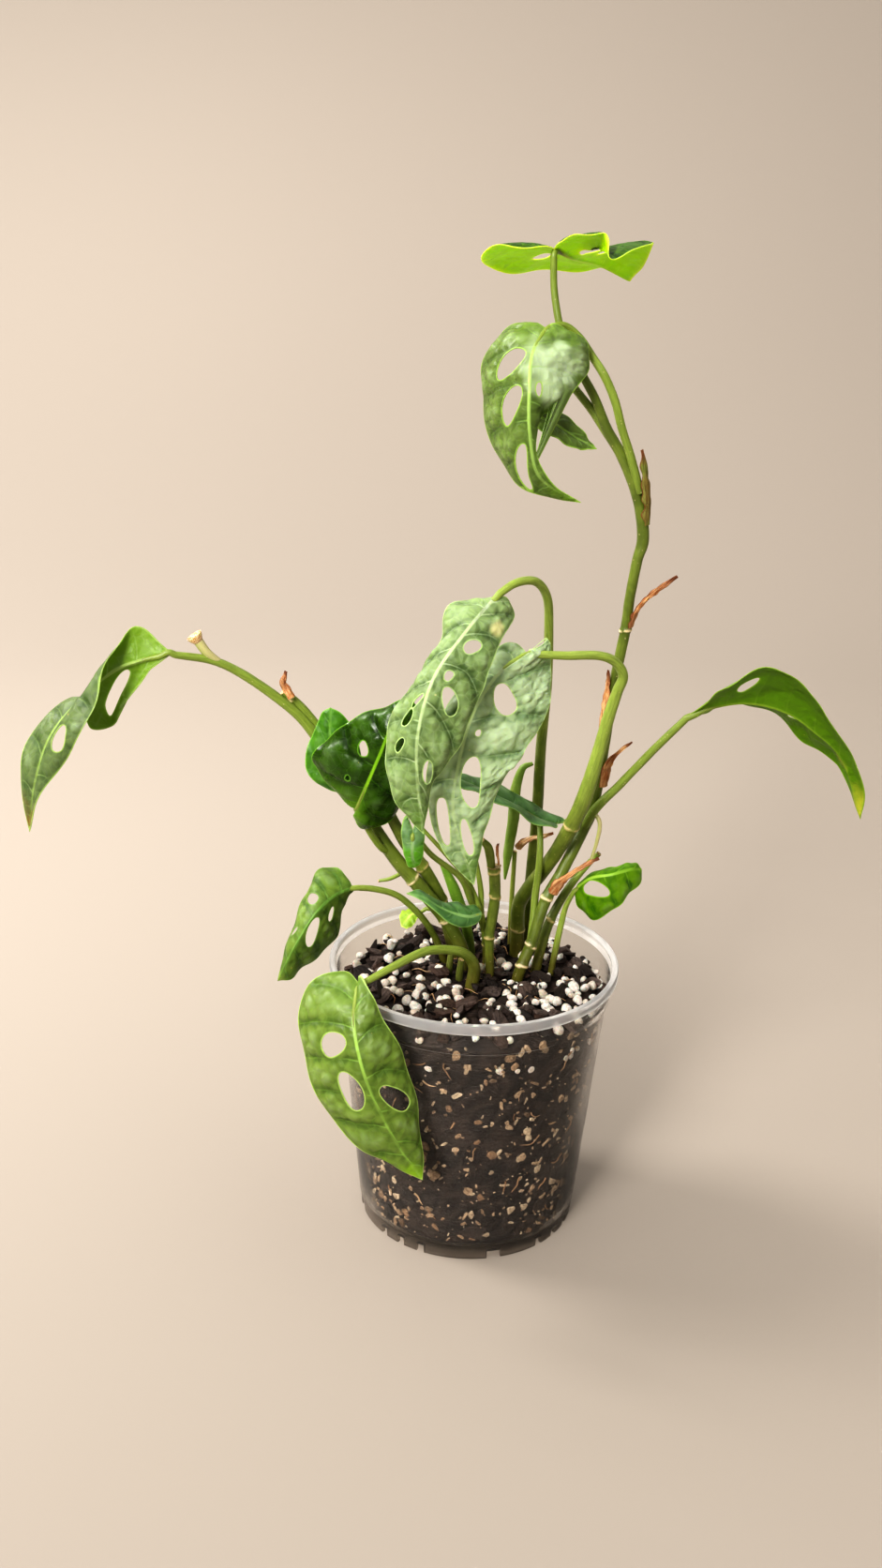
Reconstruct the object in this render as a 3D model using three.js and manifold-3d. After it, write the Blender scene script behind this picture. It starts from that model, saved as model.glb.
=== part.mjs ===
// A potted swiss cheese plant (Monstera adansonii) in its clear nursery pot.
// Millimetres, +Z up. The origin is the middle of the pot's foot, on the surface that it stands on.
// Seen from the front, along +Y, +X is to the right.

import * as THREE from 'three';
import { mergeVertices } from 'three/addons/utils/BufferGeometryUtils.js';
import Module from 'manifold-3d';

const wasm = await Module();
wasm.setup();

// Driving dimensions of the pot
const POT_HEIGHT = 135;
const RIM_RADIUS = 70;
const LIP_HEIGHT = 5;
const COLLAR_HEIGHT = 17;
const COLLAR_RADIUS = 65;
const FOOT_RADIUS = 53.5;
const WALL = 1;
const FLOOR_RADIUS = 36;
const CHANNEL_HEIGHT = 6;
const SKIRT_THICKNESS = 2;
const POT_SEGMENTS = 44;
const DRAIN_HOLES = 8;
const DRAIN_HOLE_RADIUS = 3;
const DRAIN_RING_RADIUS = 45;
const NOTCH_HEIGHT = 4.5;
const SMALL_NOTCH_WIDTH = 4;
const BIG_NOTCH_WIDTH = 7;

// Driving dimensions of the potting mix
const MIX_BELOW_RIM = 10.5;
const MIX_DOME = 2;
const MIX_SEGMENTS = 32;
const GAP = 0.35;
const HOLE_CLEARANCE = 0.4;
const HOLE_TOP = 134;

// Driving dimensions of the plant; the three spacings are those of the points on a blade
const BLADE_THICKNESS = 0.8;
const RIB_DEPTH = 1.1;
const SHEATH_THICKNESS = 0.8;
const BLADE_ARCH = 0.08;
const MARGIN_WAVE = 0.8;
const WAVES_ALONG_MARGIN = 5;
const BIG = 6.2;
const MEDIUM = 5;
const SMALL = 3.6;
const STEM_SIDES = 7;
const THIN_SIDES = 6;
const THIN_RADIUS = 1.65;

const FINISHES = {
  pot: { color: 0xd9d6d0, roughness: 0.25, metalness: 0 },
  mix: { color: 0x2b211c, roughness: 0.95, metalness: 0 },
  stem: { color: 0x7c9440, roughness: 0.5, metalness: 0 },
  oldStem: { color: 0x5d6b2e, roughness: 0.6, metalness: 0 },
  leaf: { color: 0x5f8a4a, roughness: 0.45, metalness: 0 },
  darkLeaf: { color: 0x24501c, roughness: 0.3, metalness: 0 },
  youngLeaf: { color: 0x9bbf2f, roughness: 0.45, metalness: 0 },
  dry: { color: 0xa5673a, roughness: 0.85, metalness: 0 },
};

const plant = new THREE.Group();

// Adds one named piece with its own material.
function addPiece(name, geometry, finish) {
  const mesh = new THREE.Mesh(geometry, new THREE.MeshStandardMaterial(FINISHES[finish]));
  mesh.name = name;
  plant.add(mesh);
}

// A repeatable draw between 0 and 1.
function makeDraw(seed) {
  let state = seed;
  return () => {
    state = (state * 1664525 + 1013904223) % 4294967296;
    return state / 4294967296;
  };
}

function toVector(p) {
  return new THREE.Vector3(p[0], p[1], p[2]);
}

function curveThrough(points) {
  return new THREE.CatmullRomCurve3(points.map(toVector), false, 'catmullrom', 0.5);
}

// Solids: a list of points and of triangles, a manifold, and back to a geometry.
function solidFrom(points, triangles) {
  const vertProperties = new Float32Array(points.flatMap((p) => [p.x, p.y, p.z]));
  const triVerts = new Uint32Array(triangles.flat());
  return new wasm.Manifold(new wasm.Mesh({ numProp: 3, vertProperties, triVerts }));
}

function solidOfGeometry(geometry) {
  const bare = geometry.clone();
  bare.deleteAttribute('normal');
  bare.deleteAttribute('uv');
  const merged = mergeVertices(bare, 1e-4);
  const vertProperties = new Float32Array(merged.attributes.position.array);
  const triVerts = new Uint32Array(merged.index.array);
  return new wasm.Manifold(new wasm.Mesh({ numProp: 3, vertProperties, triVerts }));
}

function geometryOf(solid) {
  const mesh = solid.getMesh();
  const geometry = new THREE.BufferGeometry();
  geometry.setAttribute('position', new THREE.BufferAttribute(new Float32Array(mesh.vertProperties), 3));
  geometry.setIndex(new THREE.BufferAttribute(new Uint32Array(mesh.triVerts), 1));
  geometry.computeVertexNormals();
  return geometry;
}

function join(solids) {
  return solids.reduce((whole, next) => whole.add(next));
}

// A ring of revolution about Z; the profile goes round the section, from and to the axis.
function lathe(profile, segments) {
  const points = profile.map(([radius, height]) => new THREE.Vector2(radius, height));
  const geometry = new THREE.LatheGeometry(points, segments);
  geometry.rotateX(Math.PI / 2);
  return solidOfGeometry(geometry);
}

// The pot: a tapered wall with a collar and a lip, a floor with a raised channel for the drain
// holes, and a skirt to the ground with notches.
function makePot() {
  const collarFoot = POT_HEIGHT - COLLAR_HEIGHT;
  const lipFoot = POT_HEIGHT - LIP_HEIGHT;
  const channelInner = FLOOR_RADIUS + 3;
  const skirtInner = FOOT_RADIUS - SKIRT_THICKNESS;
  const wallFoot = CHANNEL_HEIGHT + 3;
  const wallFootRadius = FOOT_RADIUS + 0.9;
  const shell = lathe([
    [0, 0],
    [FLOOR_RADIUS, 0],
    [channelInner, CHANNEL_HEIGHT],
    [skirtInner - 0.6, CHANNEL_HEIGHT],
    [skirtInner, 0],
    [FOOT_RADIUS, 0],
    [wallFootRadius, wallFoot],
    [COLLAR_RADIUS, collarFoot],
    [COLLAR_RADIUS + 1.2, collarFoot + 0.8],
    [COLLAR_RADIUS + 2.2, lipFoot - 0.4],
    [RIM_RADIUS, lipFoot],
    [RIM_RADIUS, POT_HEIGHT],
    [COLLAR_RADIUS + 2.2, POT_HEIGHT],
    [COLLAR_RADIUS - WALL, collarFoot],
    [wallFootRadius - WALL, wallFoot],
    [wallFootRadius - WALL - 0.8, CHANNEL_HEIGHT + WALL],
    [channelInner - 0.6, CHANNEL_HEIGHT + WALL],
    [FLOOR_RADIUS - 0.6, WALL],
    [0, WALL],
  ], POT_SEGMENTS);
  return shell.subtract(join([...drainHoles(), ...footNotches()]));
}

// Short upright pegs that cut the drain holes, clear of each other.
function drainHoles() {
  const cuts = [];
  for (let i = 0; i < DRAIN_HOLES; i += 1) {
    const turn = (i / DRAIN_HOLES) * Math.PI * 2;
    const peg = new THREE.CylinderGeometry(DRAIN_HOLE_RADIUS, DRAIN_HOLE_RADIUS, 4, 10);
    peg.rotateX(Math.PI / 2);
    peg.translate(DRAIN_RING_RADIUS * Math.cos(turn), DRAIN_RING_RADIUS * Math.sin(turn), CHANNEL_HEIGHT);
    cuts.push(solidOfGeometry(peg));
  }
  return cuts;
}

// In each quarter of the skirt one wide notch and three narrow ones.
function footNotches() {
  const cuts = [];
  const degrees = [14, 41, 53, 65];
  for (let quarter = 0; quarter < 4; quarter += 1) {
    degrees.forEach((place, i) => {
      const width = i === 0 ? BIG_NOTCH_WIDTH : SMALL_NOTCH_WIDTH;
      const block = new THREE.BoxGeometry(5, width, NOTCH_HEIGHT * 2);
      block.translate(FOOT_RADIUS - 0.6, 0, 0);
      block.rotateZ(((place + quarter * 90) / 180) * Math.PI);
      cuts.push(solidOfGeometry(block));
    });
  }
  return cuts;
}

// A round tube along a curve, with its radius given at each point that the curve goes through.
// A ring is a swelling at a place counted in those points. Stations stand closer where it bends.
class Tube {
  constructor(points, radii, rings = []) {
    this.curve = curveThrough(points);
    this.radii = radii;
    this.spans = points.length - 1;
    this.rings = rings;
    this.sides = Math.max(...radii) > THIN_RADIUS ? STEM_SIDES : THIN_SIDES;
    this.table = [];
    const fine = this.spans * 16;
    let reach = 0;
    let last = null;
    for (let i = 0; i <= fine; i += 1) {
      const at = (i / fine) * this.spans;
      const place = this.curve.getPoint(at / this.spans);
      reach += last ? place.distanceTo(last) : 0;
      last = place;
      this.table.push({ at, place, reach });
    }
    this.length = reach;
  }

  // Place along the points for a distance from the foot.
  atReach(reach) {
    const wanted = Math.min(Math.max(reach, 0), this.length);
    const i = Math.max(1, this.table.findIndex((row) => row.reach >= wanted - 1e-9));
    const a = this.table[i - 1];
    const b = this.table[i];
    return a.at + ((b.at - a.at) * (wanted - a.reach)) / (b.reach - a.reach);
  }

  reachAt(at) {
    const i = Math.min(this.table.length - 1, Math.round((at / this.spans) * (this.table.length - 1)));
    return this.table[i].reach;
  }

  radius(reach) {
    const at = this.atReach(reach);
    const i = Math.min(Math.floor(at), this.spans - 1);
    return this.radii[i] + (this.radii[i + 1] - this.radii[i]) * (at - i);
  }

  tangent(reach) {
    return this.curve.getTangent(Math.min(Math.max(this.atReach(reach) / this.spans, 0.001), 0.999));
  }

  // Stations from one distance to another.
  stations(from, to) {
    const longest = 17;
    const sharpest = 0.32;
    const list = [];
    let lastReach = from;
    let lastTangent = this.tangent(from);
    const add = (reach, extra) => list.push({ reach, radius: this.radius(reach) + extra });
    const ringReaches = this.rings.map((ring) => this.reachAt(ring.at));
    const nearRing = (reach) => ringReaches.some((ring) => Math.abs(ring - reach) < 2);
    add(from, 0);
    for (let reach = from + 1; reach < to - 1.5; reach += 1) {
      const tangent = this.tangent(reach);
      const turned = tangent.angleTo(lastTangent) > sharpest;
      if ((turned || reach - lastReach > longest) && !nearRing(reach)) {
        add(reach, 0);
        lastReach = reach;
        lastTangent = tangent;
      }
    }
    this.rings.forEach((ring, i) => {
      const middle = ringReaches[i];
      if (middle > from + 1.2 && middle < to - 1.2) {
        add(middle - 0.9, 0);
        add(middle, ring.swell);
        add(middle + 0.9, 0);
      }
    });
    add(to, 0);
    return list.sort((a, b) => a.reach - b.reach);
  }

  // The closed solid between two distances, grown all round and at its foot by a clearance.
  solid(from = 0, to = this.length, grown = 0) {
    const stations = this.stations(from, to);
    const points = [];
    const triangles = [];
    const { sides } = this;
    let side = null;
    stations.forEach((station, index) => {
      const centre = this.curve.getPoint(this.atReach(station.reach) / this.spans);
      const along = this.tangent(station.reach);
      if (index === 0) centre.addScaledVector(along, -grown);
      const guide = side || (Math.abs(along.x) < 0.8 ? new THREE.Vector3(1, 0, 0) : new THREE.Vector3(0, 1, 0));
      side = guide.clone().addScaledVector(along, -guide.dot(along)).normalize();
      const up = along.clone().cross(side);
      for (let k = 0; k < sides; k += 1) {
        const turn = (k / sides) * Math.PI * 2;
        const radius = station.radius + grown;
        points.push(centre.clone()
          .addScaledVector(side, Math.cos(turn) * radius)
          .addScaledVector(up, Math.sin(turn) * radius));
      }
    });
    const last = (stations.length - 1) * sides;
    for (let k = 0; k < sides; k += 1) {
      const next = (k + 1) % sides;
      for (let i = 0; i < last; i += sides) {
        triangles.push([i + k, i + next, i + sides + next]);
        triangles.push([i + k, i + sides + next, i + sides + k]);
      }
      if (k > 0 && k < sides - 1) {
        triangles.push([0, k + 1, k]);
        triangles.push([last, last + k, last + k + 1]);
      }
    }
    return solidFrom(points, triangles);
  }
}

// Share of the midrib that belongs to a place on a margin, both counted from stalk to tip.
function midribShare(x) {
  return x * x * (2 - x);
}

// A leaf blade stretched between its midrib and its two margins. Side 1 is the right half and -1
// the left half, seen along the leaf from stalk to tip with the upper face up. Flat places are
// given in millimetres along the midrib and across it.
class Blade {
  constructor({ midrib, left, right }) {
    const foot = midrib[0];
    const tip = midrib[midrib.length - 1];
    this.midrib = curveThrough(midrib);
    this.length = this.midrib.getLength();
    this.margins = { 1: curveThrough([foot, ...right, tip]), '-1': curveThrough([foot, ...left, tip]) };
    this.rows = { 1: [], '-1': [] };
    const rowCount = 96;
    [1, -1].forEach((side) => {
      for (let i = 0; i <= rowCount; i += 1) {
        const x = i / rowCount;
        const share = midribShare(x);
        const root = this.midrib.getPointAt(share);
        const along = this.midrib.getTangentAt(share);
        const reach = this.margins[side].getPoint(x).sub(root);
        const forward = reach.dot(along);
        const outward = Math.sqrt(Math.max(reach.lengthSq() - forward * forward, 0));
        const u = share * this.length;
        this.rows[side].push({ x, root: [u, 0], rim: [u + forward, side * outward] });
      }
    });
  }

  row(x, side) {
    const rows = this.rows[side];
    const at = Math.min(Math.max(x, 0), 1) * (rows.length - 1);
    const i = Math.min(Math.floor(at), rows.length - 2);
    const t = at - i;
    const mix = (a, b) => [a[0] + (b[0] - a[0]) * t, a[1] + (b[1] - a[1]) * t];
    return { root: mix(rows[i].root, rows[i + 1].root), rim: mix(rows[i].rim, rows[i + 1].rim) };
  }

  // Row and share of the way to the margin for a flat place, by halving.
  locate([u, v]) {
    const side = v >= 0 ? 1 : -1;
    let low = 0;
    let high = 1;
    for (let i = 0; i < 26; i += 1) {
      const middle = (low + high) / 2;
      const { root, rim } = this.row(middle, side);
      const cross = (rim[0] - root[0]) * (v - root[1]) - (rim[1] - root[1]) * (u - root[0]);
      if (cross * side < 0) low = middle;
      else high = middle;
    }
    const x = (low + high) / 2;
    const { root, rim } = this.row(x, side);
    const whole = Math.hypot(rim[0] - root[0], rim[1] - root[1]);
    const share = Math.hypot(u - root[0], v - root[1]) / Math.max(whole, 1e-6);
    return { x, w: Math.min(share, 1), side };
  }

  // The point in space for a row, a share of the way out and a side.
  place({ x, w, side }) {
    const share = midribShare(x);
    const step = 0.01;
    const root = this.midrib.getPointAt(share);
    const margin = this.margins[side];
    const reach = margin.getPoint(x).sub(root);
    const width = reach.length();
    if (width < 1e-6) return root;
    const marginStep = margin.getPoint(Math.min(x + step, 1)).sub(margin.getPoint(Math.max(x - step, 0)));
    const ribStep = this.midrib.getPointAt(Math.min(share + step, 1))
      .sub(this.midrib.getPointAt(Math.max(share - step, 0)));
    const along = marginStep.addScaledVector(ribStep, 2);
    const normal = reach.clone().cross(along).normalize().multiplyScalar(side);
    const wave = Math.sin(2 * Math.PI * WAVES_ALONG_MARGIN * x + side) * Math.min(1, width / 15);
    const lift = BLADE_ARCH * width * 4 * w * (1 - w) + MARGIN_WAVE * w ** 3 * wave;
    return root.addScaledVector(reach, w).addScaledVector(normal, lift);
  }

  // The flat outline as places, one every spacing, from the stalk round the right half and back.
  outline(spacing) {
    const side = (sign) => {
      const rows = this.rows[sign];
      const reaches = [0];
      for (let i = 1; i < rows.length; i += 1) {
        const step = Math.hypot(rows[i].rim[0] - rows[i - 1].rim[0], rows[i].rim[1] - rows[i - 1].rim[1]);
        reaches.push(reaches[i - 1] + step);
      }
      const total = reaches[reaches.length - 1];
      const count = Math.max(4, Math.round(total / spacing));
      const places = [];
      for (let k = 0; k < count; k += 1) {
        const wanted = (k / count) * total;
        const i = Math.max(1, reaches.findIndex((reach) => reach >= wanted));
        const t = (wanted - reaches[i - 1]) / (reaches[i] - reaches[i - 1]);
        const x = rows[i - 1].x + (rows[i].x - rows[i - 1].x) * t;
        places.push({ flat: this.row(x, sign).rim, x, w: 1, side: sign });
      }
      return places;
    };
    const tip = { flat: [this.length, 0], x: 1, w: 0, side: 1 };
    return [...side(1), tip, ...side(-1).slice(1).reverse()];
  }
}

function insidePolygon([x, y], polygon) {
  let inside = false;
  for (let i = 0, j = polygon.length - 1; i < polygon.length; j = i, i += 1) {
    const [ax, ay] = polygon[i];
    const [bx, by] = polygon[j];
    if (ay > y !== by > y && x < ((bx - ax) * (y - ay)) / (by - ay) + ax) inside = !inside;
  }
  return inside;
}

function circleRound(a, b, c) {
  const d = 2 * (a[0] * (b[1] - c[1]) + b[0] * (c[1] - a[1]) + c[0] * (a[1] - b[1]));
  const aa = a[0] ** 2 + a[1] ** 2;
  const bb = b[0] ** 2 + b[1] ** 2;
  const cc = c[0] ** 2 + c[1] ** 2;
  const x = (aa * (b[1] - c[1]) + bb * (c[1] - a[1]) + cc * (a[1] - b[1])) / d;
  const y = (aa * (c[0] - b[0]) + bb * (a[0] - c[0]) + cc * (b[0] - a[0])) / d;
  return { x, y, square: (a[0] - x) ** 2 + (a[1] - y) ** 2 };
}

// Delaunay triangles of flat points, by adding one point after another.
function triangulate(flat) {
  const count = flat.length;
  const all = flat.map(([x, y], i) => [x + 1e-3 * Math.sin(i * 7.3), y + 1e-3 * Math.cos(i * 3.1)]);
  all.push([-2000, -1500], [2000, -1500], [0, 3000]);
  const make = (corners) => ({ corners, circle: circleRound(...corners.map((k) => all[k])) });
  let triangles = [make([count, count + 1, count + 2])];
  for (let i = 0; i < count; i += 1) {
    const [x, y] = all[i];
    const hit = triangles.filter(({ circle }) => (x - circle.x) ** 2 + (y - circle.y) ** 2 < circle.square);
    const edges = new Map();
    hit.forEach(({ corners }) => {
      corners.forEach((a, k) => {
        const b = corners[(k + 1) % 3];
        if (!edges.delete(`${b},${a}`)) edges.set(`${a},${b}`, [a, b]);
      });
    });
    triangles = triangles.filter((triangle) => !hit.includes(triangle));
    edges.forEach(([a, b]) => triangles.push(make([a, b, i])));
  }
  return triangles.map(({ corners }) => corners).filter((corners) => corners.every((k) => k < count));
}

// The flat ring of places round a hole: along, across, half length, half width and turn in degrees.
function holeRing(blade, [along, across, halfLength, halfWidth, turn], spacing) {
  const angle = (turn / 180) * Math.PI;
  const round = Math.PI * (halfLength + halfWidth);
  const count = Math.max(7, Math.round(round / (spacing * 0.72)));
  const ring = [];
  for (let k = 0; k < count; k += 1) {
    const t = (k / count) * Math.PI * 2;
    const a = halfLength * Math.cos(t);
    const b = halfWidth * Math.sin(t);
    const flat = [
      along + a * Math.cos(angle) - b * Math.sin(angle),
      across + a * Math.sin(angle) + b * Math.cos(angle),
    ];
    ring.push({ flat, ...blade.locate(flat) });
  }
  return ring;
}

// All places of a blade's mesh: margin, holes, midrib and an even field between them.
function bladePlaces(blade, holes, spacing) {
  const outline = blade.outline(spacing);
  const rings = holes.map((hole) => holeRing(blade, hole, spacing));
  const outlineFlat = outline.map((place) => place.flat);
  const ringsFlat = rings.map((ring) => ring.map((place) => place.flat));
  const onBlade = (flat) => insidePolygon(flat, outlineFlat)
    && !ringsFlat.some((ring) => insidePolygon(flat, ring));
  const places = [...outline, ...rings.flat()];
  const clear = (flat, distance) => places.every(
    (other) => Math.hypot(other.flat[0] - flat[0], other.flat[1] - flat[1]) > distance,
  );
  const ribCount = Math.round(blade.length / spacing);
  for (let i = 1; i < ribCount; i += 1) {
    const flat = [(i / ribCount) * blade.length, 0];
    if (onBlade(flat) && clear(flat, spacing * 0.45)) places.push({ flat, ...blade.locate(flat), w: 0 });
  }
  const reach = Math.max(...outlineFlat.map(([u]) => u));
  const back = Math.min(...outlineFlat.map(([u]) => u));
  const half = Math.max(...outlineFlat.map(([, v]) => Math.abs(v)));
  const rise = spacing * 0.87;
  for (let j = -Math.ceil(half / rise); j * rise <= half; j += 1) {
    for (let u = back + (j % 2 ? spacing / 2 : 0); u <= reach; u += spacing) {
      const flat = [u, j * rise];
      if (onBlade(flat) && clear(flat, spacing * 0.62)) places.push({ flat, ...blade.locate(flat) });
    }
  }
  const triangles = triangulate(places.map((place) => place.flat)).filter((corners) => {
    const middle = [0, 1].map((axis) => corners.reduce((sum, k) => sum + places[k].flat[axis], 0) / 3);
    return onBlade(middle);
  });
  return { places, triangles };
}

// A thin closed plate: an upper and an under face split alike, and a rim along every open edge.
function plateSolid(top, under, triangles) {
  const count = top.length;
  const faces = [];
  const rim = new Map();
  triangles.forEach(([a, b, c]) => {
    faces.push([a, b, c], [count + a, count + c, count + b]);
    [[a, b], [b, c], [c, a]].forEach(([from, to]) => {
      if (!rim.delete(`${to},${from}`)) rim.set(`${from},${to}`, [from, to]);
    });
  });
  rim.forEach(([a, b]) => faces.push([a, count + a, count + b], [a, count + b, b]));
  return solidFrom([...top, ...under], faces);
}

// The blade as a thin closed solid, the same triangles on both faces, thicker under its midrib.
function bladeSolid(spec) {
  const blade = new Blade(spec);
  const { places, triangles } = bladePlaces(blade, spec.holes || [], spec.spacing);
  const middle = places.map((place) => blade.place(place));
  const normals = middle.map(() => new THREE.Vector3());
  const upper = triangles.map(([a, b, c]) => {
    const [pa, pb, pc] = [a, b, c].map((k) => places[k].flat);
    const turn = (pb[0] - pa[0]) * (pc[1] - pa[1]) - (pb[1] - pa[1]) * (pc[0] - pa[0]);
    return turn < 0 ? [a, b, c] : [a, c, b];
  });
  upper.forEach(([a, b, c]) => {
    const face = middle[b].clone().sub(middle[a]).cross(middle[c].clone().sub(middle[a]));
    [a, b, c].forEach((k) => normals[k].add(face));
  });
  normals.forEach((normal) => normal.normalize());
  const ribAt = ({ flat: [u, v] }) => (v === 0 ? RIB_DEPTH * (1 - u / blade.length) : 0);
  const top = middle.map((p, i) => p.clone().addScaledVector(normals[i], BLADE_THICKNESS / 2));
  const under = middle.map((p, i) => {
    return p.clone().addScaledVector(normals[i], -BLADE_THICKNESS / 2 - ribAt(places[i]));
  });
  return plateSolid(top, under, upper);
}

// A dried sheath: a curled strip of papery skin. Each point lies on its back and has a half width
// and the radius that it curls round; outward is the way its back faces at foot and tip.
function sheathSolid({ points: backs, halfWidths, curls, outward }) {
  const path = curveThrough(backs);
  const across = 3;
  const steps = backs.length - 1;
  const points = [[], []];
  for (let i = 0; i <= steps; i += 1) {
    const t = i / steps;
    const curl = curls[i];
    const along = path.getTangent(t);
    const out = toVector(outward[0]).lerp(toVector(outward[1]), t);
    out.addScaledVector(along, -out.dot(along)).normalize();
    const side = along.clone().cross(out);
    const centre = path.getPoint(t).addScaledVector(out, -curl);
    for (let j = 0; j <= across; j += 1) {
      const turn = ((j / across) * 2 - 1) * (halfWidths[i] / curl);
      const ray = out.clone().multiplyScalar(Math.cos(turn)).addScaledVector(side, Math.sin(turn));
      points[0].push(centre.clone().addScaledVector(ray, curl + SHEATH_THICKNESS / 2));
      points[1].push(centre.clone().addScaledVector(ray, curl - SHEATH_THICKNESS / 2));
    }
  }
  const width = across + 1;
  const triangles = [];
  for (let i = 0; i < steps; i += 1) {
    for (let j = 0; j < across; j += 1) {
      const a = i * width + j;
      triangles.push([a, a + 1, a + width], [a + 1, a + width + 1, a + width]);
    }
  }
  return plateSolid(points[0], points[1], triangles);
}

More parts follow.
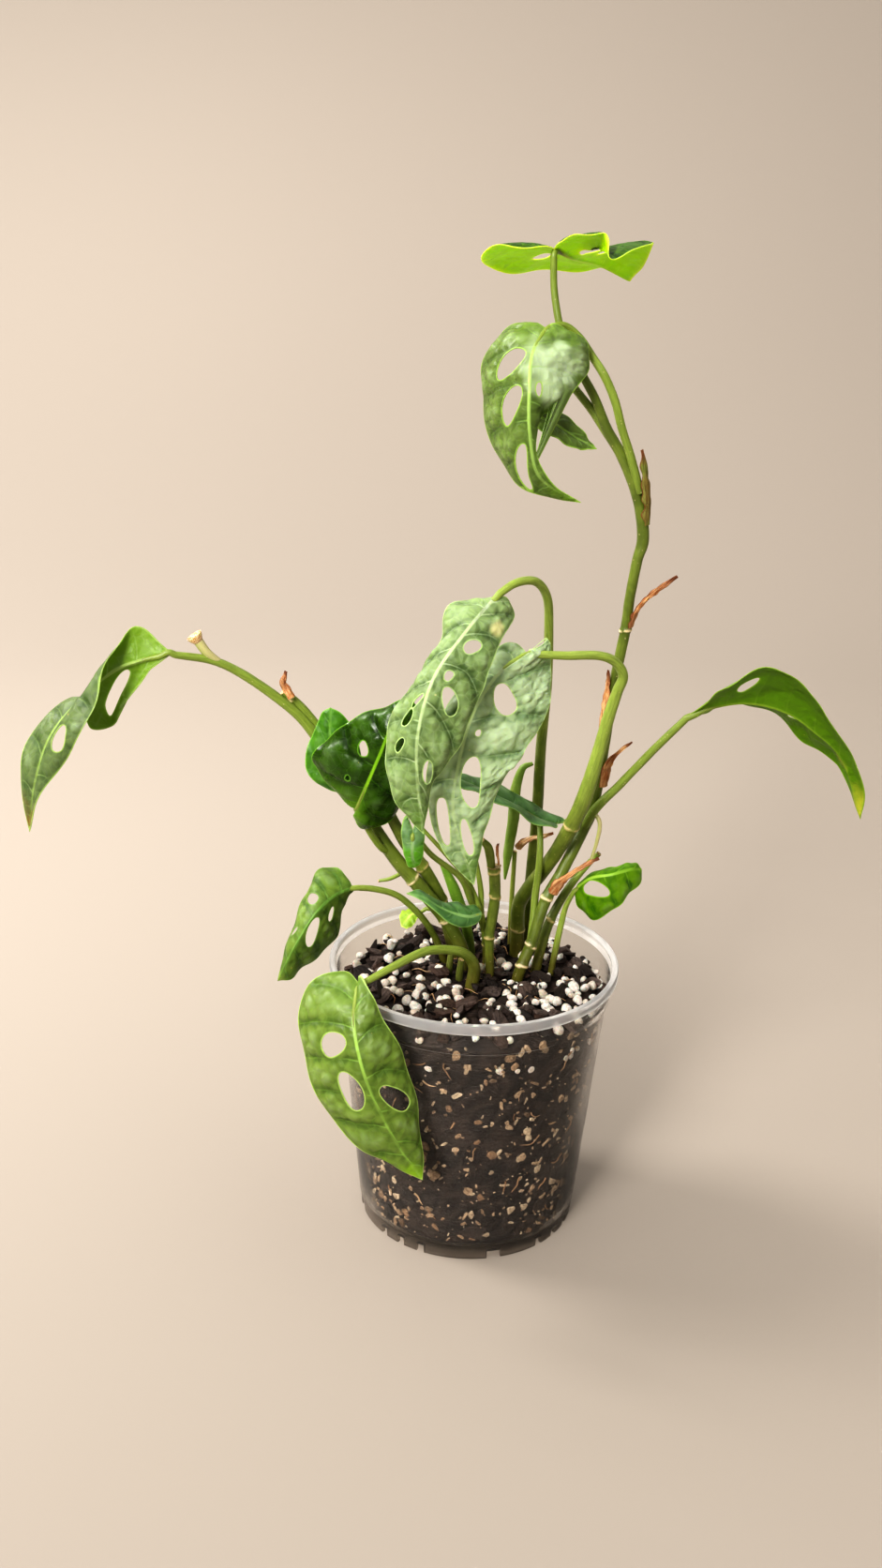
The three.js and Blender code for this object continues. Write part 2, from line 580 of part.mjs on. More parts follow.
// The shoots. Each has the tubes that have grown together in it, from the mix upwards. A tube that
// names a leaf ends in that leaf's knee. The first tube of each shoot stands in the mix.
const SHOOTS = {
  stem_front: {
    finish: 'stem',
    tubes: [{
      points: [[22, 27, 108], [22, 27, 124], [22, 26, 139], [22, 23, 153], [26, 18, 164], [32, 12, 176],
        [38, 6, 189], [44, 0, 205], [49, -4, 221], [53, -7, 240], [57, -10, 261], [60, -12, 274],
        [62, -14, 282], [58, -17, 289], [50, -21, 293], [34, -26, 294], [18, -28, 295]],
      radii: [3.4, 3.6, 3.5, 3.5, 3.5, 3.5, 3.5, 3.7, 3.8, 3.1, 2.8, 2.5, 2.3, 2.1, 2, 1.9, 1.7],
      rings: [{ at: 2, swell: 0.4 }, { at: 7, swell: 0.5 }],
      leaf: 'leaf_centre_right',
    }],
  },
  stem_tall: {
    finish: 'stem',
    tubes: [{
      points: [[20, -6, 108], [21, -6, 125], [23, -6, 134], [27, -4, 144], [30, -2, 155], [34, 1, 167],
        [40, 5, 177], [46, 10, 188], [51, 14, 198], [55, 14, 210], [58, 11, 239], [60, 9, 265],
        [62, 7, 283], [64, 6, 298], [65, 5, 313], [67, 4, 330], [69, 4, 340], [67, 3, 353], [63, 2, 365],
        [57, 2, 377], [50, 2, 388], [44, 2, 401], [38, 2, 411], [29, 5, 427], [25, 8, 444], [24, 8, 460]],
      radii: [2.8, 2.8, 2.8, 2.8, 2.7, 2.8, 2.8, 2.8, 2.9, 2.8, 2.5, 2.5, 2.4, 2.4, 2.3, 2.3, 2.8, 2.5,
        2.6, 2.4, 2.3, 1.9, 1.8, 1.6, 1.5, 1.4],
      rings: [{ at: 2, swell: 0.5 }, { at: 3, swell: 0.5 }, { at: 5, swell: 0.4 }, { at: 13, swell: 0.6 }],
      leaf: 'leaf_top',
    }, {
      points: [[66, 1, 361], [61, -1, 376], [56, -3, 389], [52, -4, 401], [47, -4, 411], [42, -3, 418],
        [36, -3, 426], [29, -5, 431], [21, -12, 430]],
      radii: [1.9, 1.9, 1.8, 1.8, 1.8, 1.7, 1.6, 1.5, 1.4],
      leaf: 'leaf_upper',
    }, {
      points: [[57, 2, 377], [49, 3, 388], [43, 4, 396], [35, 5, 405], [31, 6, 410]],
      radii: [2, 2, 1.8, 1.7, 1.6],
    }, {
      points: [[51, 14, 198], [56, 10, 210], [66, 7, 223], [81, 3, 243], [95, 0, 260]],
      radii: [2.2, 2.2, 2, 1.9, 1.7],
      leaf: 'leaf_far_right',
    }, {
      points: [[27, -4, 147], [28, 0, 155], [28.5, 3, 166], [29.5, 4, 177], [30, 5, 187], [30, 8, 195],
        [30, 14, 199.5]],
      radii: [1.9, 1.9, 1.8, 1.7, 1.6, 1.5, 1.4],
      leaf: 'leaf_mid_small',
    }, {
      points: [[55, 11, 208], [58, 8, 203], [57, 8, 193], [54.5, 8, 183]],
      radii: [1, 1, 0.9, 0.6],
    }],
  },
  stem_centre: {
    finish: 'stem',
    tubes: [{
      points: [[27, 34, 108], [27, 34, 128], [28, 34, 161], [29.5, 33, 196], [29.5, 25, 237], [30, 12, 268],
        [29, 0, 295], [27, -10, 315], [21, -20, 325], [12, -28, 326], [3, -34, 321]],
      radii: [2.8, 2.9, 2.9, 2.8, 2.5, 2.3, 2.1, 2, 1.9, 1.8, 1.6],
      rings: [{ at: 3, swell: 0.4 }],
      leaf: 'leaf_centre_left',
    }],
  },
  stem_short: {
    finish: 'stem',
    tubes: [{
      points: [[8, -3, 108], [8, -3, 125], [7, -3, 147], [8, -3, 157], [9, -3, 169], [8, -3, 184]],
      radii: [2.1, 2.2, 2.3, 2.6, 2.6, 2.8],
      rings: [{ at: 2, swell: 0.4 }, { at: 4, swell: 0.4 }, { at: 4.85, swell: 0.4 }],
    }, {
      points: [[7, -3, 180], [6.5, -3, 186], [5, -4, 194], [2, -5, 198]],
      radii: [1.6, 2, 2.2, 1.3],
    }],
  },
  stem_left: {
    finish: 'stem',
    tubes: [{
      points: [[-3, 8, 108], [-4, 8, 124], [-6, 8, 136], [-14, 8, 151], [-25, 9, 165], [-40, 10, 183],
        [-56, 12, 207], [-78, 12, 243], [-93, 8, 260], [-118, 0, 279], [-140, -10, 286]],
      radii: [3, 3.1, 3.2, 3.4, 3.6, 3.4, 3, 2.6, 2.3, 2, 1.6],
      rings: [{ at: 3, swell: 0.5 }, { at: 4.4, swell: 0.5 }],
      leaf: 'leaf_far_left',
    }, {
      points: [[-70, 13, 234], [-76, 14, 245], [-84, 12, 256], [-92, 10, 264]],
      radii: [1.6, 2, 2, 1.9],
      rings: [{ at: 2.6, swell: 0.5 }],
    }, {
      points: [[-119, 0, 279], [-125, -3, 285], [-129, -4, 291]],
      radii: [1.8, 2.1, 2.3],
    }, {
      points: [[-42, 10, 185], [-46, 6, 189], [-51, 2, 198], [-55, -1, 207], [-57, -5, 212],
        [-57, -10, 214]],
      radii: [1.8, 1.7, 1.6, 1.5, 1.4, 1.2],
      leaf: 'leaf_dark_left',
    }, {
      points: [[-50, 11, 198], [-55, 8.5, 206], [-59, 7, 211], [-61, 6, 216]],
      radii: [1.6, 1.5, 1.4, 1.2],
      leaf: 'leaf_behind_left',
    }, {
      points: [[-33, 10, 176], [-41, 13, 170], [-47, 14, 168]],
      radii: [1.1, 1, 0.7],
    }],
  },
  stem_left_back: {
    finish: 'stem',
    tubes: [{
      points: [[-8, 21, 108], [-9, 21, 124], [-11, 20, 136], [-17, 18, 157], [-26, 14, 176],
        [-35, 10, 191], [-42, 6, 206]],
      radii: [3.3, 3.4, 3.4, 3.4, 3.2, 3, 2.6],
      rings: [{ at: 3, swell: 0.4 }, { at: 4, swell: 0.5 }],
    }, {
      points: [[-11, 21, 138], [-17, 25, 146], [-23, 27, 148], [-27, 26, 146]],
      radii: [1.2, 1.1, 1.1, 0.9],
      leaf: 'leaf_yellow_small',
    }],
  },
  stem_leafless: {
    finish: 'stem',
    tubes: [{
      points: [[-1, 24, 108], [-1, 24, 124], [-4, 24, 142], [-10, 22, 160], [-16, 20, 175]],
      radii: [2.3, 2.4, 2.6, 3, 1.6],
    }],
  },
  stem_paired: {
    finish: 'stem',
    tubes: [{
      points: [[7, 13, 108], [7, 13, 124], [5, 10, 146], [-2, 0, 164], [-8, -12, 182], [-22, -28, 200],
        [-30, -42, 217]],
      radii: [2.3, 2.3, 2, 1.5, 1.4, 1.3, 1.1],
      rings: [{ at: 1.6, swell: 0.5 }],
      leaf: 'leaf_hanging_small',
    }, {
      points: [[6, 11, 137], [5, 5, 144], [3, 2, 157], [-4, 0, 175], [-13, -4, 188], [-26, -10, 205]],
      radii: [1.6, 1.4, 1.3, 1.2, 1.1, 0.9],
    }, {
      points: [[4, 4, 148], [3, 4, 158], [2.5, 5, 167], [1, 5, 177], [-1, 5, 187]],
      radii: [1.2, 1.3, 1.4, 1.2, 0.7],
    }, {
      points: [[6, 9, 140], [4.5, 2, 150], [3.5, -4, 157], [3, -8, 162]],
      radii: [1.4, 1.3, 1.2, 1],
      leaf: 'leaf_front_small',
    }],
  },
  stem_right_cut: {
    finish: 'stem',
    tubes: [{
      points: [[29, 3, 108], [30, 3, 124], [33, 5, 140], [37, 9, 152], [43, 13, 163], [49, 15, 172],
        [55, 15, 180], [59, 14, 185]],
      radii: [2.3, 2.4, 2.4, 2.3, 2, 1.8, 1.5, 1.3],
      rings: [{ at: 3, swell: 0.4 }],
    }],
  },
  stem_right_leaf: {
    finish: 'stem',
    tubes: [{
      points: [[38, 3, 108], [38, 4, 124], [40, 5, 139], [42, 6, 151], [44, 6, 161], [48, 4, 171]],
      radii: [1.6, 1.6, 1.6, 1.5, 1.3, 1.1],
      leaf: 'leaf_low_right',
    }],
  },
  stem_front_left: {
    finish: 'stem',
    tubes: [{
      points: [[-1, -12, 108], [-1, -12, 124], [0, -12, 135], [-3, -14, 142], [-10, -20, 148],
        [-23, -32, 153], [-37, -48, 153], [-52, -60, 149]],
      radii: [3.1, 3.3, 3, 2.6, 2.3, 2.1, 1.9, 1.5],
      leaf: 'leaf_front_left',
    }],
  },
  stem_lower_left: {
    finish: 'stem',
    tubes: [{
      points: [[-13, 12, 108], [-14, 12, 124], [-18, 8, 139], [-26, 2, 155], [-37, -6, 169],
        [-48, -12, 175], [-58, -18, 178]],
      radii: [1.8, 1.8, 1.7, 1.6, 1.5, 1.5, 1.3],
      leaf: 'leaf_lower_left',
    }],
  },
  stem_pale: {
    finish: 'oldStem',
    tubes: [{
      points: [[19, 37, 108], [19, 37, 124], [19, 36, 150], [19.5, 34, 177]],
      radii: [1.2, 1.2, 1.2, 1.1],
    }],
  },
  stub_brown: {
    finish: 'dry',
    tubes: [{
      points: [[-12, 2, 108], [-12, 2, 124], [-11, 3, 138]],
      radii: [1.7, 1.8, 1.4],
    }],
  },
  stub_olive: {
    finish: 'oldStem',
    tubes: [{
      points: [[-7, -4, 108], [-7, -4, 124], [-6, -5, 136]],
      radii: [1.8, 1.9, 1.6],
    }],
  },
};

// The leaves: points along the midrib and each margin, holes (along, across, half length, half
// width, turn), and the length of the knee by which the blade sits on its stalk.
const LEAVES = {
  leaf_front_left: {
    spacing: BIG,
    knee: 9,
    finish: 'leaf',
    midrib: [[-52, -60, 149], [-54, -74, 138], [-48, -82, 114], [-35, -82, 84], [-22, -76, 59]],
    left: [[-52, -60, 154], [-47, -66, 149], [-41, -70, 138], [-32, -70, 120], [-25, -70, 93],
      [-22, -74, 71]],
    right: [[-60, -52, 152], [-76, -50, 144], [-80, -56, 128], [-75, -64, 108], [-65, -72, 89],
      [-47, -78, 74]],
    holes: [[27, 12, 7, 5, 64], [49, 9, 9, 5.6, 0], [60, -9, 9.5, 4, -24]],
  },
  leaf_lower_left: {
    spacing: MEDIUM,
    knee: 7,
    finish: 'leaf',
    midrib: [[-58, -18, 178], [-66, -26, 177], [-74, -36, 172], [-83, -42, 158], [-91, -40, 140]],
    left: [[-58, -16, 175], [-62, -14, 169], [-64, -14, 158], [-67, -18, 150], [-76, -28, 145],
      [-85, -36, 140]],
    right: [[-61, -14, 182], [-68, -8, 184], [-75, -12, 183], [-80, -20, 174], [-85, -30, 162],
      [-89, -36, 150]],
    holes: [[19, 7, 3.8, 3, 90], [17, -8, 5, 2, -40], [33, -5, 7.8, 3.6, -21], [37.5, 6, 3, 1.2, 15]],
  },
  leaf_far_left: {
    spacing: BIG,
    knee: 8,
    finish: 'leaf',
    midrib: [[-140, -10, 286], [-154, -12, 283], [-166, -18, 279], [-178, -28, 269], [-191, -32, 253],
      [-199, -32, 231], [-204, -28, 206]],
    left: [[-143, -9, 289], [-155, -8, 298], [-162, -16, 292], [-166, -32, 283], [-171, -38, 266],
      [-182, -38, 246], [-197, -34, 225]],
    right: [[-146, -12, 282], [-152, -14, 276], [-162, -13, 262], [-168, -12, 252], [-178, -10, 250],
      [-182, -14, 266], [-192, -18, 261], [-202, -22, 251], [-206, -26, 239], [-206, -28, 220]],
    holes: [[22, 8, 5, 2.8, 54], [34, 16, 7.5, 3.2, 42], [66, -6, 6.5, 3.6, -10]],
  },
  leaf_far_right: {
    spacing: BIG,
    knee: 8,
    finish: 'leaf',
    midrib: [[95, 0, 260], [107, 0, 265], [122, 0, 267], [139, 0, 263], [152, -2, 255], [167, -3, 241],
      [178, -4, 213]],
    left: [[101, 6, 259], [112, 14, 261], [129, 20, 260], [142, 18, 253], [156, 14, 242], [169, 8, 234],
      [173, 2, 225]],
    right: [[100, -4, 266], [106, -12, 275], [116, -16, 284], [129, -18, 289], [144, -18, 278],
      [162, -14, 256], [177, -8, 229]],
    holes: [[25, 12, 5.5, 1.9, 67], [52, -6, 4.5, 2, 60]],
  },
  leaf_top: {
    spacing: BIG,
    knee: 6,
    finish: 'youngLeaf',
    midrib: [[24, 8, 461], [34, 28, 457], [47, 48, 454], [63, 66, 447]],
    left: [[19, 2, 462], [4, 2, 462], [-6, 14, 459], [-3, 40, 452], [13, 58, 450], [36, 68, 451],
      [54, 70, 452]],
    right: [[26, 0, 464], [33, -10, 467], [43, -12, 468], [45, -22, 459], [56, -12, 461], [66, 12, 465],
      [67, 40, 457]],
    holes: [[17, 14, 8, 4.2, 50], [30, 15, 8, 3, 50], [22, -15, 7, 3, -50]],
  },
  leaf_upper: {
    spacing: BIG,
    knee: 7,
    finish: 'leaf',
    midrib: [[21, -12, 430], [15, -26, 421], [14, -34, 406], [15, -36, 389], [20, -34, 372],
      [38, -28, 361]],
    left: [[25, -10, 432], [36, -8, 427], [40, -12, 415], [31, -22, 404], [20, -30, 395], [18, -35, 382],
      [26, -33, 369]],
    right: [[15, -4, 432], [3, 0, 428], [-5, 0, 413], [-3, -8, 393], [5, -20, 374], [19, -28, 364]],
    holes: [[20, 11, 9, 4.6, 59], [39, 10, 9.5, 5, 28], [64, 6, 9, 2.8, 13], [33, -4, 2.8, 1.2, 0]],
    lobe: {
      spacing: SMALL,
      midrib: [[17, -32, 397], [26, -21, 392], [35, -14, 386], [45, -10, 381]],
      left: [[20, -27, 402], [28, -16, 397], [37, -11, 390], [42, -9, 384]],
      right: [[18, -33, 392], [26, -25, 387], [35, -18, 382], [41, -13, 381]],
    },
  },
  leaf_centre_left: {
    spacing: BIG,
    knee: 9,
    finish: 'leaf',
    midrib: [[3, -34, 321], [-9, -50, 310], [-22, -62, 293], [-28, -68, 271], [-28, -68, 250],
      [-25, -62, 223]],
    left: [[8, -30, 320], [12, -28, 312], [6, -44, 305], [0, -54, 291], [-9, -60, 266], [-20, -62, 248],
      [-24, -62, 233]],
    right: [[-4, -30, 319], [-17, -34, 316], [-20, -42, 304], [-29, -48, 289], [-39, -52, 274],
      [-42, -56, 256], [-36, -60, 235]],
    holes: [[27, -6, 4, 2.8, 21], [44, -5, 2.4, 1.8, 0], [55, -10, 6.6, 3.4, -25], [59, 4, 4, 1, 33],
      [67, 7, 4, 2, 22], [79, 9, 4, 1.8, 42], [90, -5, 5.6, 2.5, 0]],
  },
  leaf_centre_right: {
    spacing: BIG,
    knee: 9,
    finish: 'leaf',
    midrib: [[18, -28, 295], [6, -38, 289], [-5, -44, 272], [-11, -46, 247], [-12, -46, 225],
      [-2, -40, 190]],
    left: [[21, -25, 299], [25, -22, 302], [29, -20, 294], [29, -24, 281], [27, -30, 266],
      [18, -36, 253], [9, -38, 239], [2, -40, 217]],
    right: [[13, -22, 298], [6, -26, 296], [-3, -32, 285], [-12, -36, 266], [-19, -38, 244],
      [-22, -40, 224], [-14, -42, 204]],
    holes: [[28, -11, 9.5, 5, -47], [46, -5, 1.6, 1.3, 0], [70, -7, 12.5, 3.6, -10], [98, -3, 8, 1.8, 4],
      [88, 6, 9, 2.4, 2]],
  },
  leaf_dark_left: {
    spacing: MEDIUM,
    knee: 8,
    finish: 'darkLeaf',
    midrib: [[-57, -10, 214], [-52, -16, 228], [-46, -20, 244], [-41, -20, 257], [-33, -16, 271]],
    left: [[-61, -8, 216], [-70, -4, 225], [-78, -2, 235], [-70, -4, 247], [-55, -8, 259],
      [-41, -12, 266]],
    right: [[-58, -6, 208], [-52, -4, 202], [-40, -4, 208], [-33, -6, 224], [-29, -10, 244],
      [-29, -12, 261]],
    holes: [[32, -8, 3.9, 2.4, -23], [15, -9, 1.6, 1.1, 17]],
  },
  leaf_behind_left: {
    spacing: MEDIUM,
    knee: 4,
    finish: 'leaf',
    midrib: [[-61, 6, 216], [-67, 4, 229], [-70, 4, 242], [-70, 6, 258]],
    left: [[-71, 6, 218], [-81, 4, 227], [-81, 6, 238], [-77, 7, 247], [-74, 7, 255]],
    right: [[-58, 7, 220], [-56, 7, 233], [-58, 7, 244], [-64, 7, 254]],
  },
  leaf_hanging_small: {
    spacing: SMALL,
    knee: 4,
    finish: 'leaf',
    midrib: [[-30, -42, 217], [-30, -44, 211], [-30, -44, 206], [-29, -40, 198]],
    left: [[-28, -42, 222], [-25, -42, 218], [-25, -42, 209], [-26, -40, 201]],
    right: [[-33, -42, 224], [-35, -42, 217], [-34, -42, 207], [-32, -40, 199]],
  },
  leaf_low_right: {
    spacing: SMALL,
    knee: 5,
    finish: 'leaf',
    midrib: [[48, 4, 171], [54, 0, 178], [64, -4, 182], [73, 0, 183], [79, 6, 181]],
    left: [[50, 5, 174], [57, 4, 180], [64, 2, 183], [71, 4, 184], [76, 6, 184]],
    right: [[48, 6, 166], [51, 6, 159], [58, 2, 156], [67, -2, 164], [74, 0, 171], [79, 4, 176]],
    holes: [[11, 5.6, 8, 3.8, 19]],
  },
  leaf_front_small: {
    spacing: SMALL,
    knee: 4,
    finish: 'leaf',
    midrib: [[3, -8, 162], [-4, -14, 163], [-15, -16, 167], [-25, -16, 173], [-33, -14, 174]],
    left: [[1, -12, 159], [-6, -16, 158], [-14, -20, 163], [-24, -18, 171]],
    right: [[0, -4, 164], [-8, -6, 166], [-17, -8, 168], [-27, -10, 174]],
  },
  leaf_mid_small: {
    spacing: MEDIUM,
    knee: 5,
    finish: 'leaf',
    midrib: [[30, 14, 199.5], [20, 10, 208.5], [8.5, 6, 216], [-4, 0, 224], [-15, -6, 230]],
    left: [[38, 8, 201.5], [33, -2, 204], [21.5, -8, 211], [8.5, -12, 220], [-5, -12, 225],
      [-11, -10, 229]],
    right: [[43, 18, 199], [36.5, 24, 201], [24.5, 24, 207.5], [12, 22, 215.5], [-1.5, 14, 223],
      [-10, 4, 227.5]],
  },
  leaf_yellow_small: {
    spacing: SMALL,
    knee: 3,
    finish: 'youngLeaf',
    midrib: [[-27, 26, 146], [-31, 24, 146], [-34, 22, 143], [-36, 20, 141]],
    left: [[-28, 22, 145], [-30, 20, 142], [-33, 18, 141]],
    right: [[-29, 30, 146], [-34, 32, 145], [-37, 28, 144]],
  },
};

// A young leaf that is still rolled up, hanging from the arching stalk.
const ROLLED_LEAF = {
  points: [[26.2, 29.6, 225], [21, 29, 222], [18, 29, 209], [18, 30, 197], [16, 32, 177], [15, 32, 163]],
  radii: [0.9, 1.8, 2.8, 2.9, 2.4, 0.6],
};

// Dried sheaths at the joints.
const SHEATHS = {
  sheath_ring: {
    points: [[66.9, 4, 300], [68, 2, 306], [71, -1, 313], [76, -4, 319], [84, -6, 326]],
    halfWidths: [3, 2.6, 1.8, 1.4, 0.9],
    curls: [3.6, 3.4, 2.6, 2.2, 2],
    outward: [[1, -0.6, 0], [0.3, -1, 0.5]],
  },
  sheath_behind: {
    points: [[55.5, 8.5, 250], [56.2, 8, 260], [57.2, 7, 270], [57.5, 6.2, 279]],
    halfWidths: [2.4, 2.8, 2.2, 0.8],
    curls: [3.6, 3.4, 3.4, 3.2],
    outward: [[-0.9, -0.45, 0], [-0.9, -0.45, 0]],
  },
  sheath_axil: {
    points: [[59, 8.9, 221], [59.8, 8, 228], [60.6, 6.4, 234], [65, 4, 241], [70, 2, 246]],
    halfWidths: [2.6, 3, 2, 0.8, 0.6],
    curls: [3.8, 3.8, 3, 2, 2],
    outward: [[0.5, -0.85, 0], [0.2, -1, 0.2]],
  },
  sheath_big: {
    points: [[36.5, -2, 170], [38.5, -3.6, 175], [43, -6, 181], [50, -7, 187], [57, -6, 191]],
    halfWidths: [3, 3.8, 3.2, 2.2, 1.2],
    curls: [4, 3.6, 3, 2.6, 2.2],
    outward: [[0, -1, 0], [0.2, -1, 0.4]],
  },
  sheath_pale: {
    points: [[20.7, 32.4, 179], [22.5, 27, 184.5], [27, 21.5, 189.5], [32, 20, 191], [37, 20, 193]],
    halfWidths: [2.4, 2, 1.5, 1.2, 0.9],
    curls: [2.2, 2.2, 2, 2, 2],
    outward: [[0, -1, 0.3], [0, -0.6, 1]],
  },
  sheath_upper: {
    points: [[71, 2.6, 349], [70.4, 2, 358], [68.6, 1, 368], [66.4, 0.2, 377]],
    halfWidths: [2.2, 3, 2.4, 0.8],
    curls: [3.8, 3.4, 3.2, 3],
    outward: [[1, -0.2, 0.2], [1, -0.3, 0.4]],
  },
  sheath_stub: {
    points: [[-88, 5.6, 262], [-90, 5.4, 266], [-92, 5.4, 270], [-90.5, 5.6, 275]],
    halfWidths: [2, 2, 1.6, 1],
    curls: [2.4, 2.2, 2, 2],
    outward: [[0.2, -1, 0.3], [-0.5, -0.8, 0.3]],
  },
  sheath_short: {
    points: [[10.6, -2.6, 185.2], [10, -2, 189], [9.4, -1.4, 192], [10, -1, 195]],
    halfWidths: [1.4, 1.3, 1.1, 0.8],
    curls: [2, 2, 2, 2],
    outward: [[1, -0.2, 0], [0.6, -0.6, 0]],
  },
};

// Builds the shoots, and the knee that each stalk gives to its leaf.
const knees = {};
const rootHoles = [];
Object.entries(SHOOTS).forEach(([name, shoot]) => {
  const solids = shoot.tubes.map(({ points, radii, rings, leaf }, index) => {
    const tube = new Tube(points, radii, rings);
    const knee = leaf ? LEAVES[leaf].knee : 0;
    if (leaf) knees[leaf] = tube.solid(tube.length - knee, tube.length);
    if (index === 0) {
      const emerges = tube.table.find((row) => row.place.z > HOLE_TOP);
      rootHoles.push(tube.solid(0, emerges ? emerges.reach : tube.length, HOLE_CLEARANCE));
    }
    return tube.solid(0, leaf ? tube.length - knee - GAP : tube.length);
  });
  addPiece(name, geometryOf(join(solids)), shoot.finish);
});

// Builds the leaves, each grown together with its knee.
Object.entries(LEAVES).forEach(([name, spec]) => {
  const solids = [bladeSolid(spec), knees[name]];
  if (spec.lobe) solids.push(bladeSolid(spec.lobe));
  addPiece(name, geometryOf(join(solids)), spec.finish);
});
addPiece('leaf_rolled', geometryOf(new Tube(ROLLED_LEAF.points, ROLLED_LEAF.radii).solid()), 'youngLeaf');

Object.entries(SHEATHS).forEach(([name, spec]) => {
  addPiece(name, geometryOf(sheathSolid(spec)), 'dry');
});

// The potting mix: a body that fills the pot, with bark chips and perlite sunk into its top.
function makeMix() {
  const top = POT_HEIGHT - MIX_BELOW_RIM;
  const taper = (COLLAR_RADIUS - FOOT_RADIUS - 0.9) / (POT_HEIGHT - COLLAR_HEIGHT - CHANNEL_HEIGHT - 3);
  const wallAt = (z) => COLLAR_RADIUS - WALL - GAP - 0.2 - (POT_HEIGHT - COLLAR_HEIGHT - z) * taper;
  const footHeight = CHANNEL_HEIGHT + WALL + GAP;
  const body = lathe([
    [0, WALL + GAP],
    [FLOOR_RADIUS - 1.2, WALL + GAP],
    [FLOOR_RADIUS + 2, footHeight],
    [wallAt(footHeight) - 1.2, footHeight],
    [wallAt(CHANNEL_HEIGHT + 3.4), CHANNEL_HEIGHT + 3.4],
    [wallAt(POT_HEIGHT - COLLAR_HEIGHT - 2), POT_HEIGHT - COLLAR_HEIGHT - 2],
    [wallAt(POT_HEIGHT - COLLAR_HEIGHT) - 0.2, top - 1.5],
    [wallAt(POT_HEIGHT - COLLAR_HEIGHT) - 3, top],
    [0, top + MIX_DOME],
  ], MIX_SEGMENTS);
  return join([body, ...barkChips(top), ...perliteGrains(top)]).subtract(join(rootHoles));
}

// Places spread evenly over the mix, clear of the stems' feet.
function surfacePlaces(count, reach, turned, draw, clearance) {
  const places = [];
  for (let i = 0; i < count; i += 1) {
    const away = Math.sqrt((i + 0.5) / count) * reach;
    const turn = i * 2.39996 + turned + draw() * 0.4;
    const x = away * Math.cos(turn);
    const y = away * Math.sin(turn);
    const feet = Object.values(SHOOTS).map(({ tubes }) => tubes[0].points[1]);
    if (feet.every((foot) => Math.hypot(foot[0] - x, foot[1] - y) > clearance)) {
      places.push({ x, y, rise: MIX_DOME * (1 - away / reach) });
    }
  }
  return places;
}

// Flat bark chips, tilted and turned by the draw, half sunk.
function barkChips(top) {
  const draw = makeDraw(11);
  return surfacePlaces(46, COLLAR_RADIUS - 11, 0, draw, 8).map(({ x, y, rise }) => {
    const chip = new THREE.BoxGeometry(9 + draw() * 7, 5 + draw() * 4, 3.4 + draw() * 1.6);
    chip.rotateX((draw() - 0.5) * 0.8);
    chip.rotateY((draw() - 0.5) * 0.8);
    chip.rotateZ(draw() * Math.PI);
    chip.translate(x, y, top + rise + 0.4 + draw());
    return solidOfGeometry(chip);
  });
}

// Rounded perlite grains, 4 to 6 mm, among the chips.
function perliteGrains(top) {
  const draw = makeDraw(23);
  return surfacePlaces(38, COLLAR_RADIUS - 6.5, 1.1, draw, 7).map(({ x, y, rise }) => {
    const grain = new THREE.OctahedronGeometry(2.4 + draw() * 0.8, 0);
    grain.rotateX(draw());
    grain.rotateZ(draw() * Math.PI);
    grain.translate(x, y, top + rise + 0.5 + draw() * 0.5);
    return solidOfGeometry(grain);
  });
}

addPiece('pot', geometryOf(makePot()), 'pot');
addPiece('potting_mix', geometryOf(makeMix()), 'mix');

export default plant;
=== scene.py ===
"""A potted swiss cheese plant in its clear nursery pot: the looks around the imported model.

Sizes in the data are in millimetres, and the meshes are in metres. +Z is up, the front is
towards -Y, and +X is to the right seen from the front.
"""

import logging
import math
from collections.abc import Sequence
from dataclasses import dataclass, field, replace
from enum import Enum

import bmesh
import bpy
import numpy as np
from mathutils import Matrix, Quaternion, Vector
from mathutils.geometry import delaunay_2d_cdt

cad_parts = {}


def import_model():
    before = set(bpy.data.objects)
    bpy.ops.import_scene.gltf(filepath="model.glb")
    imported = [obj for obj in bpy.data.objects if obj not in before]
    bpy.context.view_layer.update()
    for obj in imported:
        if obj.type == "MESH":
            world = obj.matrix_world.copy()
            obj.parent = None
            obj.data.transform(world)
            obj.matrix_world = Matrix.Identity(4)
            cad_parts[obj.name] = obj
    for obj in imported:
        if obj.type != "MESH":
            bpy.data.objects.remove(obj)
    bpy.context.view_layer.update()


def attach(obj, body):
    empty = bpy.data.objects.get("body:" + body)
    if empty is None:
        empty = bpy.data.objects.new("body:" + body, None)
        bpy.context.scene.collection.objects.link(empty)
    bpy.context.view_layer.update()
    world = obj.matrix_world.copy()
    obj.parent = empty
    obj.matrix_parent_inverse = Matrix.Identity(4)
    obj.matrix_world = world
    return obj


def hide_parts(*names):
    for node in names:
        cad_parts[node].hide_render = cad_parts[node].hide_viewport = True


Array = np.ndarray
Draw = np.random.Generator
Face = tuple[int, ...]
Flat = tuple[float, float]
Point = tuple[float, float, float]
Knot = tuple[float, float, float, float]
Colour = tuple[float, float, float]
Material = bpy.types.Material
Node = bpy.types.Node
Socket = bpy.types.NodeSocket
Input = Socket | float | tuple

MM = 0.001
BODY = "root"
LOG = logging.getLogger("plant")
WHOLE_TURN = 6.283

